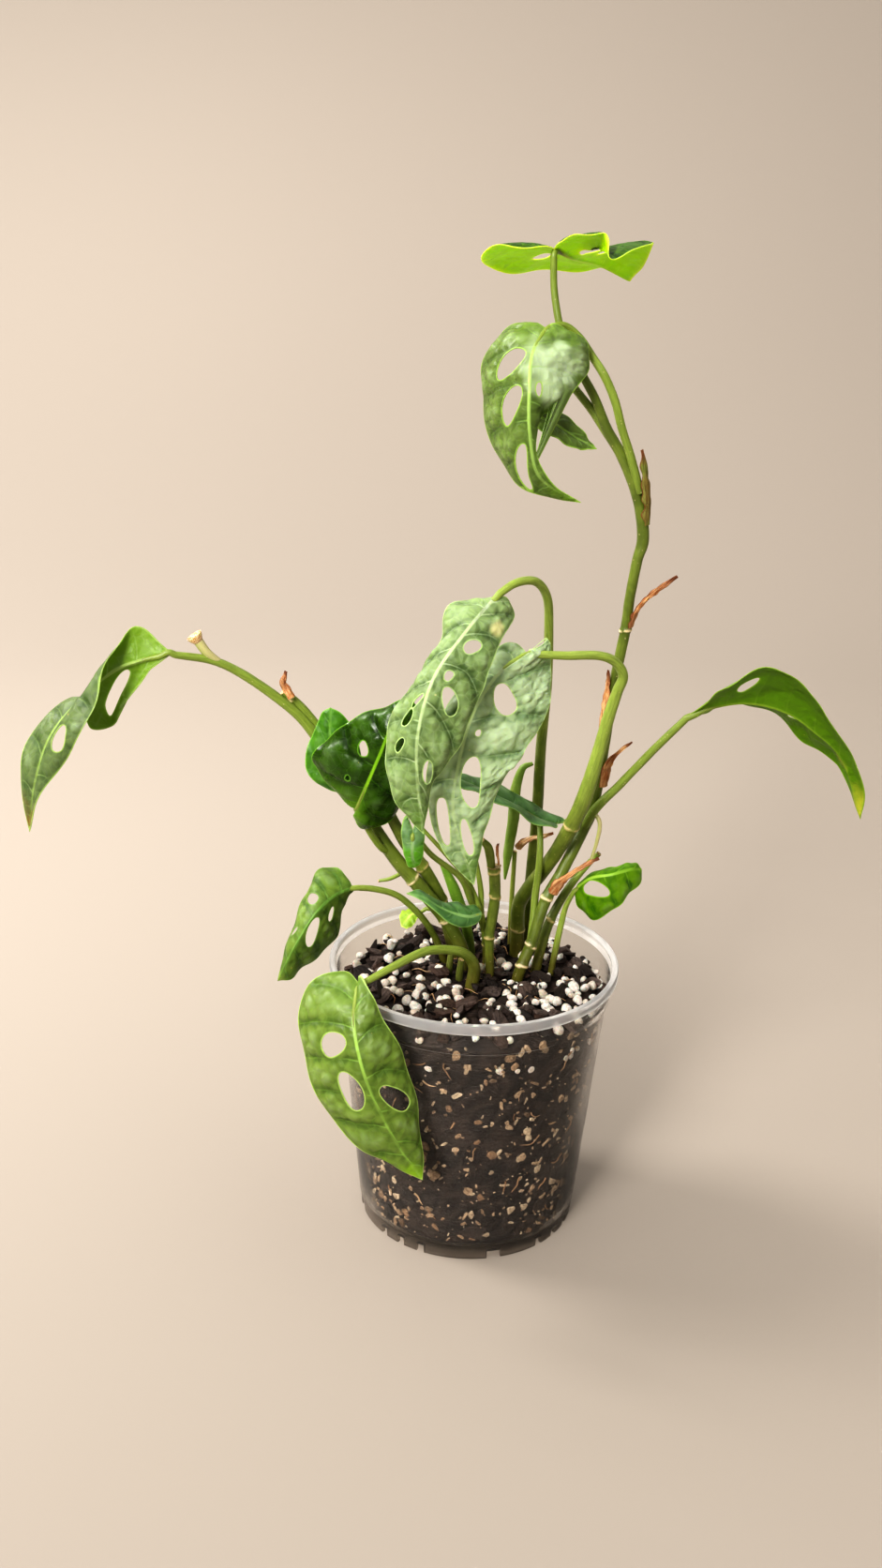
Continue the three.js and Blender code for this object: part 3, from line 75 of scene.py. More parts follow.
POT_HEIGHT = 135.0
RIM_RADIUS = 70.0
LIP_HEIGHT = 5.0
COLLAR_HEIGHT = 17.0
COLLAR_RADIUS = 65.0
COLLAR_TAPER = 2.2
FOOT_RADIUS = 53.5
FOOT_TAPER = 0.9
WALL = 1.0
FLOOR_RADIUS = 36.0
CHANNEL_HEIGHT = 6.0
MIX_TOP = 124.5
MIX_DOME = 2.0
MIX_RADIUS = 62.0
LID_RADIUS = 63.0
HAIR = 0.12
INNER_WALL = (
    (CHANNEL_HEIGHT + WALL, FOOT_RADIUS - WALL),
    (CHANNEL_HEIGHT + 3, FOOT_RADIUS + FOOT_TAPER - WALL),
    (POT_HEIGHT - COLLAR_HEIGHT, COLLAR_RADIUS - WALL),
    (POT_HEIGHT, COLLAR_RADIUS + COLLAR_TAPER),
)


def display(*parts: float) -> tuple[float, ...]:
    """The shader's own colour for red, green and blue from 0 to 255 as a display shows them."""
    shares = [part / 255 for part in parts]
    return (*(s / 12.92 if s <= 0.04045 else ((s + 0.055) / 1.055) ** 2.4 for s in shares), 1.0)


def unit(vectors: Array) -> Array:
    """Vectors of length one, along the last axis."""
    return vectors / np.maximum(np.linalg.norm(vectors, axis=-1, keepdims=True), 1e-9)


def fade(values: Array, low: float, high: float) -> Array:
    """Numbers that rise smoothly from 0 where the values are low to 1 where they are high."""
    share = np.clip((np.asarray(values, float) - low) / (high - low), 0, 1)
    return share * share * (3 - 2 * share)


def turned(angle: float, axis: str) -> Matrix:
    """A turn about X, Y or Z."""
    return Matrix.Rotation(angle, 3, axis)


def circle(count: int) -> Array:
    """Angles that are spaced evenly round a circle."""
    return np.linspace(0, 2 * math.pi, count, endpoint=False)


def lathe(profile: Sequence[Flat], sides: int) -> Array:
    """Points of level rings about the Z axis, for the radius and the height of each ring."""
    x, y = np.cos(circle(sides)), np.sin(circle(sides))
    return np.vstack([np.stack([r * x, r * y, 0 * x + z], -1) for r, z in profile])


def ring_faces(rings: int, sides: int, base: int = 0) -> list[Face]:
    """Faces between rings of points that follow each other.

    Args:
        rings: How many rings.
        sides: How many points each of them has.
        base: The number of the first point.

    Returns:
        Faces with four corners.
    """
    faces = []
    for start in range(base, base + (rings - 1) * sides, sides):
        for k in range(sides):
            here, ahead = start + k, start + (k + 1) % sides
            faces.append((here, ahead, ahead + sides, here + sides))
    return faces


def fan(start: int, sides: int, tip: int) -> list[Face]:
    """Triangles between a ring, which starts at a point's number, and a tip."""
    return [(start + k, start + (k + 1) % sides, tip) for k in range(sides)]


def ripples(places: Array, seed: int, length: float, waves: int = 5) -> Array:
    """An even, irregular swell over places, from crossing waves.

    Args:
        places: Places in millimetres, one in each row.
        seed: Picks the waves.
        length: Mean wave length in millimetres.
        waves: How many waves cross.

    Returns:
        A height from about -1 to 1 for each place.
    """
    draw = np.random.default_rng(seed)
    total = np.zeros(len(places))
    for _ in range(waves):
        way = unit(draw.normal(size=places.shape[1]))
        pitch = 2 * math.pi / (length * draw.uniform(0.65, 1.5))
        total += np.sin(places @ way * pitch + draw.uniform(0, WHOLE_TURN))
    return total / math.sqrt(waves) / 1.3


class Curve:
    """A smooth curve through points, in millimetres, the one that the solids follow."""

    STEPS_A_SPAN = 24
    SIGHT = 0.3

    def __init__(self, points: Sequence[Point | Knot]) -> None:
        """Measures the curve.

        Args:
            points: The points that it goes through.
        """
        inner = np.array(points, float)[:, :3]
        self.padded = np.vstack([2 * inner[0] - inner[1], inner, 2 * inner[-1] - inner[-2]])
        self.spans = len(inner) - 1
        self.steps = np.linspace(0, 1, self.spans * self.STEPS_A_SPAN + 1)
        gaps = np.linalg.norm(np.diff(self.at(self.steps), axis=0), axis=1)
        self.reaches = np.concatenate([[0.0], np.cumsum(gaps)])
        self.length = float(self.reaches[-1])

    def at(self, steps: Array) -> Array:
        """Places on the curve.

        Args:
            steps: Numbers from 0 to 1, counted in points.

        Returns:
            One place in each row.
        """
        scaled = np.clip(np.atleast_1d(steps), 0, 1) * self.spans
        first = np.minimum(scaled.astype(int), self.spans - 1)
        share = (scaled - first)[:, None]
        before, here, there, after = (self.padded[first + i] for i in range(4))
        leave, arrive = (there - before) / 2, (after - here) / 2
        cubic = 2 * here - 2 * there + leave + arrive
        square = 3 * there - 3 * here - 2 * leave - arrive
        return ((cubic * share + square) * share + leave) * share + here

    def step_at(self, reach: Array) -> Array:
        """Steps for distances from the start."""
        return np.interp(reach, self.reaches, self.steps)

    def reach_at(self, step: Array) -> Array:
        """Distances from the start for steps."""
        return np.interp(step, self.steps, self.reaches)

    def place(self, reach: Array) -> Array:
        """Places at distances from the start."""
        return self.at(self.step_at(reach))

    def along(self, reach: Array) -> Array:
        """Directions of the curve at distances from the start, one in each row."""
        ahead = self.place(np.minimum(reach + self.SIGHT, self.length))
        return unit(ahead - self.place(np.maximum(reach - self.SIGHT, 0)))


@dataclass
class Surface:
    """Points in millimetres, faces, and fields that hold a number or a vector for each point."""

    points: Array
    faces: list[Face]
    fields: dict[str, Array] = field(default_factory=dict)
    material: int = 0


def make_piece(
    name: str, surfaces: Sequence[Surface], materials: Sequence[Material], sharp: float = 50.0
) -> bpy.types.Object:
    """Joins surfaces in one object, with their fields as attributes.

    Args:
        name: The piece's name.
        surfaces: What it is made of.
        materials: Its materials, in the order that the surfaces count them.
        sharp: Edges that turn by more than this many degrees stay sharp.

    Returns:
        The object, in the scene.
    """
    mesh = bpy.data.meshes.new(name)
    faces, kinds, base = [], [], 0
    for surface in surfaces:
        faces.extend(tuple(corner + base for corner in face) for face in surface.faces)
        kinds.extend([surface.material] * len(surface.faces))
        base += len(surface.points)
    points = np.concatenate([surface.points for surface in surfaces]) * MM
    mesh.from_pydata(points.tolist(), [], faces)
    mesh.polygons.foreach_set("material_index", kinds)
    mesh.polygons.foreach_set("use_smooth", [True] * len(faces))
    depths = {key: value.ndim for surface in surfaces for key, value in surface.fields.items()}
    for key, depth in depths.items():
        parts = [s.fields.get(key, np.zeros((len(s.points), 3)[:depth])) for s in surfaces]
        kind, target = ("FLOAT", "value") if depth == 1 else ("FLOAT_VECTOR", "vector")
        values = np.concatenate(parts).astype(np.float32).ravel()
        mesh.attributes.new(key, kind, "POINT").data.foreach_set(target, values)
    for material in materials:
        mesh.materials.append(material)
    mesh.validate()
    mesh.set_sharp_from_angle(angle=math.radians(sharp))
    piece = bpy.data.objects.new(name, mesh)
    bpy.context.scene.collection.objects.link(piece)
    return piece


def seat_piece(piece: bpy.types.Object, node: str) -> None:
    """Fixes a piece to the plant, and hides the node that it stands for.

    Args:
        piece: The object.
        node: The node that it replaces.
    """
    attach(piece, BODY)
    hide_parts(node)
    LOG.info("%s: %d faces", piece.name, len(piece.data.polygons))


def tube_surface(
    path: Curve, reaches: Array, radii: Array, sides: int = 0, closed: bool = False
) -> Surface:
    """A tube along a path.

    Args:
        path: The line that it follows.
        reaches: Distances of its rings from the start of the path.
        radii: A radius for each ring, or for each ring and side.
        sides: How many sides it has where the radii don't say it.
        closed: Whether its far end is drawn to a point.

    Returns:
        The tube, with a grain field that holds its own place round and along it.
    """
    if sides:
        radii = radii[:, None] * np.ones(sides)
    sides = radii.shape[1]
    centres, alongs = path.place(reaches), path.along(reaches)
    across = np.zeros_like(alongs)
    guide = np.array([1.0, 0, 0]) if abs(alongs[0][0]) < 0.8 else np.array([0, 1.0, 0])
    for i, along in enumerate(alongs):
        guide = unit(guide - along * (guide @ along))
        across[i] = guide
    up = np.cross(alongs, across)
    turn = circle(sides)
    x, y = radii * np.cos(turn), radii * np.sin(turn)
    points = centres[:, None] + across[:, None] * x[..., None] + up[:, None] * y[..., None]
    points = points.reshape(-1, 3)
    faces = ring_faces(len(reaches), sides)
    grain = np.stack([x, y, np.broadcast_to(reaches[:, None], radii.shape)], -1).reshape(-1, 3)
    if closed:
        points = np.vstack([points, centres[-1] + alongs[-1] * radii[-1].mean() * 0.6])
        grain = np.vstack([grain, grain[-1:]])
        faces += fan((len(reaches) - 1) * sides, sides, len(points) - 1)
    return Surface(points, faces, {"grain": grain})


class Nodes:
    """Writes one node tree, for a material or a group."""

    def __init__(self, tree: bpy.types.NodeTree) -> None:
        """Keeps the tree."""
        self.tree = tree

    def fill(self, node: Node, inputs: dict[str | int, Input]) -> None:
        """Links inputs of a node to sockets, or sets their own values.

        Args:
            node: The node.
            inputs: What its inputs get, by name or number.
        """
        for key, value in inputs.items():
            if isinstance(value, Socket):
                self.tree.links.new(value, node.inputs[key])
            else:
                node.inputs[key].default_value = value

    def add(self, kind: str, inputs: dict[str | int, Input] | None = None, **settings: object) -> Node:
        """Adds a node.

        Args:
            kind: Its type.
            inputs: What its inputs get, by name or number.
            settings: Its own settings.

        Returns:
            The node.
        """
        node = self.tree.nodes.new(kind)
        for key, value in settings.items():
            setattr(node, key, value)
        self.fill(node, inputs or {})
        return node

    def math(self, operation: str, *numbers: Input) -> Socket:
        """The result of an operation on numbers."""
        return self.add("ShaderNodeMath", dict(enumerate(numbers)), operation=operation).outputs[0]

    def times(self, first: Input, second: Input) -> Socket:
        """One number times another."""
        return self.math("MULTIPLY", first, second)

    def plus(self, first: Input, second: Input) -> Socket:
        """The sum of two numbers."""
        return self.math("ADD", first, second)

    def scaled(self, value: Input, factor: float, shift: float) -> Socket:
        """A number times a factor, with a shift added."""
        return self.math("MULTIPLY_ADD", value, factor, shift)

    def rise(
        self, value: Input, low: float, high: float, start: float = 0.0, end: float = 1.0
    ) -> Socket:
        """A smooth change from start to end while the value goes from low to high."""
        span = {"Value": value, "From Min": low, "From Max": high, "To Min": start, "To Max": end}
        return self.add("ShaderNodeMapRange", span, interpolation_type="SMOOTHSTEP").outputs[0]

    def mix(self, share: Input, first: Input | Colour, second: Input | Colour) -> Socket:
        """The first colour with a share of the second. Plain colours are as a display shows them."""
        first, second = (display(*c) if isinstance(c, tuple) else c for c in (first, second))
        return self.add("ShaderNodeMix", {0: share, 6: first, 7: second}, data_type="RGBA").outputs[2]

    def number(self, name: str) -> Socket:
        """A field of the mesh that holds a number."""
        return self.add("ShaderNodeAttribute", attribute_name=name).outputs["Fac"]

    def vector(self, name: str) -> Socket:
        """A field of the mesh that holds a vector."""
        return self.add("ShaderNodeAttribute", attribute_name=name).outputs["Vector"]

    def parts(self, vector: Input) -> Sequence[Socket]:
        """A vector's three parts."""
        return self.add("ShaderNodeSeparateXYZ", {0: vector}).outputs

    def position(self) -> Socket:
        """The place in space, in metres."""
        return self.add("ShaderNodeNewGeometry").outputs["Position"]

    def noise(self, place: Input, scale: Input, detail: float = 3.0, rough: float = 0.55) -> Socket:
        """A noise value at a place, of a scale, with finer layers of a strength."""
        inputs = {"Vector": place, "Scale": scale, "Detail": detail, "Roughness": rough}
        return self.add("ShaderNodeTexNoise", inputs).outputs[0]

    def group(self, tree: bpy.types.NodeTree, **inputs: Input) -> Sequence[Socket]:
        """Places a node group, whose inputs get values by their names, and gives its outputs."""
        named = {key.replace("_", " ").title(): value for key, value in inputs.items()}
        return self.add("ShaderNodeGroup", named, node_tree=tree).outputs

    def bump(self, height: Input, distance: float, strength: float) -> Socket:
        """A normal from a height."""
        inputs = {"Height": height, "Distance": distance, "Strength": strength}
        return self.add("ShaderNodeBump", inputs).outputs[0]


def new_group(name: str, inputs: str, outputs: str) -> tuple[Nodes, Sequence[Socket], Node]:
    """Makes an empty node group.

    Args:
        name: Its name.
        inputs: The names of its inputs with commas between them. Place is a vector.
        outputs: The names of its outputs, which are numbers.

    Returns:
        The writer of its tree, the sockets of its inputs and its output node.
    """
    tree = bpy.data.node_groups.new(name, "ShaderNodeTree")
    for in_out, names in (("INPUT", inputs), ("OUTPUT", outputs)):
        for key in names.split(", "):
            kind = "NodeSocketVector" if key == "Place" else "NodeSocketFloat"
            tree.interface.new_socket(key, in_out=in_out, socket_type=kind)
    nodes = Nodes(tree)
    return nodes, nodes.add("NodeGroupInput").outputs, nodes.add("NodeGroupOutput")


class Effects:
    """The surface effects that several materials share."""

    def __init__(self) -> None:
        """Builds each group once."""
        self.leaf_pattern = self.make_leaf_pattern()
        self.streaks = self.make_streaks()
        self.specks = self.make_specks()

    def make_leaf_pattern(self) -> bpy.types.NodeTree:
        """Veins, midrib, margin and quilting of a leaf.

        Returns:
            The group. Its masks go from 0 to 1, and its height is in millimetres.
        """
        outputs = "Vein, Net, Rib, Margin, Mottle, Height"
        nodes, given, end = new_group("leaf pattern", "Vein Width, Net Scale, Net Depth", outputs)
        phase, slope, edge = nodes.parts(nodes.vector("pattern"))
        rib, flat = nodes.number("rib"), nodes.vector("flat")
        nearest = nodes.math("PINGPONG", phase, 0.5)
        away = nodes.math("DIVIDE", nearest, nodes.math("MAXIMUM", slope, 0.002))
        vein = nodes.rise(nodes.math("DIVIDE", away, given["Vein Width"]), 0.25, 1.0, 1.0, 0.0)
        vein = nodes.times(vein, nodes.rise(rib, 0.0, 9.0, 1.0, 0.35))
        vein = nodes.times(vein, nodes.rise(edge, 0.5, 3.0))
        warp = nodes.noise(flat, 0.16, 2.0)
        warped = nodes.add("ShaderNodeVectorMath", {0: flat, 1: warp}, operation="ADD").outputs[0]
        inputs = {"Vector": warped, "Scale": given["Net Scale"], "Randomness": 0.85}
        cells = nodes.add("ShaderNodeTexVoronoi", inputs, feature="DISTANCE_TO_EDGE").outputs[0]
        raised = nodes.times(nodes.rise(cells, 0.0, 0.5), given["Net Depth"])
        height = nodes.plus(raised, nodes.times(nodes.noise(flat, 2.6, 2.0), 0.03))
        nodes.fill(end, {
            "Vein": vein,
            "Net": nodes.rise(cells, 0.0, 0.09, 1.0, 0.0),
            "Rib": nodes.rise(rib, 0.35, 0.95, 1.0, 0.0),
            "Margin": nodes.rise(edge, 0.2, 0.75, 1.0, 0.0),
            "Mottle": nodes.rise(nodes.noise(flat, 0.075, 4.0, 0.6), 0.35, 0.68),
            "Height": nodes.math("SUBTRACT", height, nodes.times(vein, 0.1)),
        })
        return nodes.tree

    def make_streaks(self) -> bpy.types.NodeTree:
        """Fine streaks that run along a stalk, a sheath or a chip of bark.

        Returns:
            The group. Its values go from 0 to 1.
        """
        nodes, given, end = new_group("streaks", "Scale, Stretch", "Value, Patches")
        grain = nodes.vector("grain")
        x, y, along = nodes.parts(grain)
        long = nodes.math("DIVIDE", along, given["Stretch"])
        place = nodes.add("ShaderNodeCombineXYZ", {0: x, 1: y, 2: long}).outputs[0]
        nodes.fill(end, {
            "Value": nodes.noise(place, given["Scale"], 4.0, 0.6),
            "Patches": nodes.rise(nodes.noise(grain, 0.09), 0.38, 0.64),
        })
        return nodes.tree

    def make_specks(self) -> bpy.types.NodeTree:
        """Scattered small round specks.

        Returns:
            The group. Its mask is 1 on a speck.
        """
        nodes, given, end = new_group("specks", "Place, Scale, Size, Share", "Mask")
        inputs = {"Vector": given["Place"], "Scale": given["Scale"]}
        spots = nodes.add("ShaderNodeTexVoronoi", inputs).outputs
        picked = nodes.math("LESS_THAN", nodes.parts(spots["Color"])[0], given["Share"])
        near = nodes.math("LESS_THAN", spots["Distance"], given["Size"])
        nodes.fill(end, {"Mask": nodes.times(picked, near)})
        return nodes.tree


def new_material(name: str) -> tuple[Material, Nodes, Node]:
    """Makes a material with one plain shader.

    Args:
        name: Its name.

    Returns:
        The material, the writer of its tree and its shader node.
    """
    material = bpy.data.materials.new(name)
    material.use_nodes = True
    return material, Nodes(material.node_tree), material.node_tree.nodes["Principled BSDF"]


@dataclass(frozen=True)
class LeafFinish:
    """The colours and gloss of one leaf, with painted shade in its creases and painted sheen on its crests.
    """

    upper: Colour
    # shade is the darker green: painted shade in the creases of the relief, and also the darker tone of the
    # mottle.
    shade: Colour
    under: Colour
    rib: Colour
    vein: Colour
    margin: Colour
    tip: Colour
    tip_from: float = 0.9
    # base_glow: a painted glow, the rib's pale colour laid over the blade near its stalk.
    base_glow: float = 0.0
    vein_strength: float = 0.45
    net_strength: float = 0.12
    mottle: float = 0.45
    # patch: the colour of pale patches and specks; on the upper leaf the patches are a painted reflection.
    patch: Colour = (190, 170, 90)
    roughness: float = 0.42
    net_depth: float = 0.35
    # sheen and sheen_share: a painted sheen that lightens the crests of the relief.
    sheen: Colour = (190, 210, 170)
    sheen_share: float = 0.18
    specular: float = 0.36
    rib_fades: float = 1.0
    subsurface: float = 0.35
    red_depth: float = 0.75
    NET_SCALE = 0.2
    VEIN_WIDTH = 0.55
    TIP_BLEND = 0.07

    def material(self, name: str, effects: Effects) -> Material:
        """Builds the leaf's material.

        Args:
            name: Its name.
            effects: The shared effects.

        Returns:
            The material.
        """
        material, nodes, shader = new_material(name)
        pattern = nodes.group(
            effects.leaf_pattern,
            vein_width=self.VEIN_WIDTH, net_scale=self.NET_SCALE, net_depth=self.net_depth,
        )
        flat, relief_shading = nodes.vector("flat"), nodes.number("relief_shading")
        upward = nodes.rise(nodes.parts(flat)[2], 0.3, 0.7)
        along, _, patch = nodes.parts(nodes.vector("blade"))
        mottle = nodes.times(pattern["Mottle"], self.mottle)
        # Painted shade and sheen: the relief mask darkens the creases towards shade and lightens the crests
        # with sheen.
        face = nodes.mix(nodes.rise(relief_shading, 0.2, 0.62), self.shade, self.upper)
        face = nodes.mix(mottle, face, self.shade)
        face = nodes.mix(nodes.rise(relief_shading, 0.55, 1.0, 0.0, self.sheen_share), face, self.sheen)
        under = nodes.mix(nodes.times(mottle, 0.35), self.under, self.shade)
        # Painted glow near the stalk, in the rib's colour.
        glow = nodes.times(nodes.rise(along, 0.0, 0.45, 1.0, 0.0), self.base_glow)
        tip_at = nodes.plus(along, nodes.scaled(nodes.noise(flat, 0.12), 0.2, -0.1))
        tip = nodes.rise(tip_at, self.tip_from - self.TIP_BLEND, self.tip_from + self.TIP_BLEND)
        rib = nodes.times(pattern["Rib"], nodes.rise(along, 0.4, self.rib_fades, 1.0, 0.2))
        specks = nodes.group(effects.specks, place=flat, scale=0.13, size=0.055, share=0.22)
        colour = nodes.mix(upward, under, face)
        for share, layer in (
            (glow, self.rib),
            (tip, self.tip),
            # The patches: pale patches on some leaves, a painted reflection on the upper leaf's right half.
            (nodes.times(patch, 0.85), self.patch),
            (nodes.times(pattern["Net"], self.net_strength), self.vein),
            (nodes.times(pattern["Vein"], self.vein_strength), self.vein),
            (rib, self.rib),
            (nodes.times(pattern["Margin"], 0.85), self.margin),
            (nodes.times(specks[0], 0.5), self.patch),
        ):
            colour = nodes.mix(share, colour, layer)
        gloss = nodes.scaled(mottle, -0.12, self.roughness + 0.06)
        nodes.fill(shader, {
            "Base Color": colour,
            "Roughness": nodes.plus(gloss, nodes.times(pattern["Net"], 0.08)),
            "Normal": nodes.bump(pattern["Height"], MM, 0.9),
            "Subsurface Weight": self.subsurface,
            "Subsurface Radius": (self.red_depth, 1.0, 0.2),
            "Subsurface Scale": 0.0016,
            "Specular IOR Level": self.specular,
        })
        return material


@dataclass(frozen=True)
class StemFinish:
    """The colours of a shoot: stem, leaf stalk, scars and cut ends."""

    stem: Colour = (128, 140, 58)
    shade: Colour = (84, 98, 32)
    stalk: Colour = (152, 170, 78)
    scar: Colour = (206, 186, 132)
    soiled: Colour = (88, 66, 26)
    cut: Colour = (98, 68, 40)
    ROUGHNESS = 0.38
    SOILED_BELOW = 0.15

    def material(self, name: str, effects: Effects) -> Material:
        """Builds the shoot's material.

        Args:
            name: Its name.
            effects: The shared effects.

        Returns:
            The material.
        """
        material, nodes, shader = new_material(name)
        streaks = nodes.group(effects.streaks, scale=1.5, stretch=12.0)
        grain, fine = nodes.vector("grain"), streaks["Value"]
        stalk_share, scar, cut = nodes.parts(nodes.vector("marks"))
        height = nodes.parts(nodes.position())[2]
        height = nodes.plus(height, nodes.scaled(nodes.noise(grain, 0.25), 0.016, -0.008))
        low = nodes.rise(height, self.SOILED_BELOW - 0.026, self.SOILED_BELOW, 0.65, 0.0)
        specks = nodes.group(effects.specks, place=grain, scale=0.55, size=0.16, share=0.3)
        rings = nodes.rise(nodes.noise(grain, 1.4, 4.0), 0.35, 0.65)
        colour = nodes.mix(nodes.times(streaks["Patches"], 0.8), self.stem, self.shade)
        for share, layer in (
            (stalk_share, self.stalk),
            (nodes.rise(fine, 0.3, 0.7, 0.0, 0.45), self.shade),
            (low, self.soiled),
            (nodes.times(specks[0], 0.35), self.scar),
            (scar, self.scar),
            (cut, nodes.mix(rings, self.cut, self.scar)),
        ):
            colour = nodes.mix(share, colour, layer)
        rough = nodes.scaled(fine, 0.2, self.ROUGHNESS - 0.1)
        bumps = nodes.plus(fine, nodes.times(nodes.noise(grain, 2.2), 0.3))
        nodes.fill(shader, {
            "Base Color": colour,
            "Roughness": nodes.plus(rough, nodes.times(scar, 0.25)),
            "Normal": nodes.bump(bumps, 0.0003, 0.7),
            "Subsurface Weight": 0.2,
            "Subsurface Radius": (0.7, 1.0, 0.25),
            "Subsurface Scale": 0.0015,
        })
        return material


@dataclass(frozen=True)
class SheathFinish:
    """A dried, papery sheath."""

    papery: Colour = (172, 108, 60)
    edge: Colour = (104, 56, 24)
    pale: Colour = (224, 180, 130)

    def material(self, name: str, effects: Effects) -> Material:
        """Builds the sheath's material.

        Args:
            name: Its name.
            effects: The shared effects.

        Returns:
            The material.
        """
        material, nodes, shader = new_material(name)
        streaks = nodes.group(effects.streaks, scale=1.3, stretch=9.0)
        fibre = nodes.rise(streaks["Value"], 0.36, 0.62)
        colour = nodes.mix(fibre, self.papery, self.pale)
        colour = nodes.mix(nodes.times(streaks["Patches"], 0.55), colour, self.edge)
        colour = nodes.mix(nodes.rise(nodes.number("worn"), 0.45, 1.0), colour, self.edge)
        nodes.fill(shader, {
            "Base Color": colour,
            "Roughness": nodes.scaled(fibre, 0.2, 0.5),
            "Normal": nodes.bump(streaks["Value"], 0.0006, 0.8),
            "Subsurface Weight": 0.3,
            "Subsurface Radius": (1.0, 0.6, 0.3),
            "Subsurface Scale": 0.001,
        })
        return material


@dataclass(frozen=True)
class CrumbFinish:
    """Loose stuff of the mix: each crumb takes its tone from the list of colours."""

    tones: tuple[Colour, ...]
    dirt: Colour
    roughness: float = 0.7
    stretch: float = 1.0
    relief: float = 0.0008
    dirt_share: float = 0.5
    subsurface: float = 0.0

    def material(self, name: str, effects: Effects) -> Material:
        """Builds the crumbs' material.

        Args:
            name: Its name.
            effects: The shared effects.

        Returns:
            The material.
        """
        material, nodes, shader = new_material(name)
        streaks = nodes.group(effects.streaks, scale=0.9, stretch=self.stretch)[0]
        ramp = nodes.add("ShaderNodeValToRGB", {0: nodes.number("tone")})
        stops = ramp.color_ramp.elements
        for i in range(1, len(self.tones) - 1):
            stops.new(i / (len(self.tones) - 1))
        for stop, tone in zip(stops, self.tones):
            stop.color = display(*tone)
        fine = nodes.noise(nodes.position(), 900.0)
        dirt = nodes.rise(streaks, 0.42, 0.66, 0.0, self.dirt_share)
        colour = nodes.mix(dirt, ramp.outputs[0], self.dirt)
        nodes.fill(shader, {
            "Base Color": nodes.mix(nodes.rise(fine, 0.4, 0.75, 0.0, 0.35), colour, self.dirt),
            "Roughness": nodes.scaled(fine, 0.3, self.roughness - 0.15),
            "Normal": nodes.bump(nodes.plus(streaks, nodes.times(fine, 0.4)), self.relief, 0.8),
            "Subsurface Weight": self.subsurface,
            "Subsurface Scale": 0.001,
            "Specular IOR Level": 0.22,
        })
        return material


@dataclass(frozen=True)
class PlasticFinish:
    """Clear or hazy moulded plastic of the pot, with its tint in the shader's own numbers."""

    tint: Point
    clear: float
    roughness: float
    SHADOW_TINT = (0.94, 0.93, 0.91, 1.0)

    def material(self, name: str) -> Material:
        """Builds the plastic, which lets the light of the lamps through.

        Args:
            name: Its name.

        Returns:
            The material.
        """
        material, nodes, shader = new_material(name)
        place = nodes.position()
        haze = nodes.noise(place, 60.0, 4.0)
        drawn = nodes.add("ShaderNodeMapping", {"Vector": place, "Scale": (1.0, 1.0, 14.0)})
        scratches = nodes.noise(drawn.outputs[0], 90.0)
        nodes.fill(shader, {
            "Base Color": (*self.tint, 1.0),
            "Roughness": nodes.rise(haze, 0.35, 0.75, self.roughness, self.roughness + 0.09),
            "Normal": nodes.bump(nodes.plus(haze, scratches), 0.0002, 0.25),
            "IOR": 1.16,
            "Transmission Weight": self.clear,
        })
        see = nodes.add("ShaderNodeBsdfTransparent", {0: self.SHADOW_TINT}).outputs[0]
        shadow = nodes.add("ShaderNodeLightPath").outputs["Is Shadow Ray"]
        both = nodes.add("ShaderNodeMixShader", {0: shadow, 1: shader.outputs[0], 2: see})
        nodes.fill(nodes.tree.nodes["Material Output"], {"Surface": both.outputs[0]})
        return material


def plate_surface(
    middle: Array, normals: Array, above: Array, below: Array, faces: Array, fields: dict[str, Array]
) -> Surface:
    """A thin closed plate about a middle surface.

    Args:
        middle: Points of the middle surface.
        normals: Its normals.
        above: How far the upper face lies from it.
        below: How far the under face lies from it.
        faces: Faces that look along the normals.
        fields: Fields of the middle surface, which both faces get.

    Returns:
        The plate, with a rim along its open edges.
    """
    count = len(middle)
    top = [tuple(face) for face in faces.tolist()]
    sides = [side for face in top for side in zip(face, face[1:] + face[:1])]
    known = set(sides)
    rim = [(a, a + count, b + count, b) for a, b in sides if (b, a) not in known]
    under = [tuple(corner + count for corner in reversed(face)) for face in top]
    points = [middle + normals * above[:, None], middle - normals * below[:, None]]
    held = {key: np.concatenate([value, value]) for key, value in fields.items()}
    return Surface(np.vstack(points), top + under + rim, held)


def point_normals(points: Array, faces: Array) -> Array:
    """Mean normals at the points of a surface.

    Args:
        points: Its points.
        faces: Its faces, all with the same number of corners.

    Returns:
        One normal in each row.
    """
    first, second, last = (points[faces[:, i]] for i in (0, 1, -1))
    face_normals = np.cross(second - first, last - first)
    normals = np.zeros_like(points)
    for corner in range(faces.shape[1]):
        np.add.at(normals, faces[:, corner], face_normals)
    return unit(normals)


def inside(places: Array, ring: Array) -> Array:
    """Which flat places lie inside a ring.

    Args:
        places: Flat places.
        ring: The ring's corners.

    Returns:
        A mask.
    """
    ahead = np.roll(ring, 1, axis=0)
    x, y = places[:, :1], places[:, 1:]
    crosses = (ring[:, 1] > y) != (ahead[:, 1] > y)
    rise = ahead[:, 1] - ring[:, 1]
    rise = np.where(np.abs(rise) < 1e-9, 1e-9, rise)
    at = (ahead[:, 0] - ring[:, 0]) * (y - ring[:, 1]) / rise + ring[:, 0]
    return (np.sum(crosses & (x < at), axis=1) % 2).astype(bool)


def ring_distance(places: Array, ring: Array) -> Array:
    """Distance of flat places from a ring.

    Args:
        places: Flat places.
        ring: The ring's corners.

    Returns:
        A distance for each place.
    """
    step = np.roll(ring, -1, axis=0) - ring
    gap = places[:, None] - ring[None]
    share = np.clip((gap * step).sum(-1) / np.maximum((step * step).sum(-1), 1e-9), 0, 1)
    return np.linalg.norm(gap - step * share[..., None], axis=-1).min(axis=1)


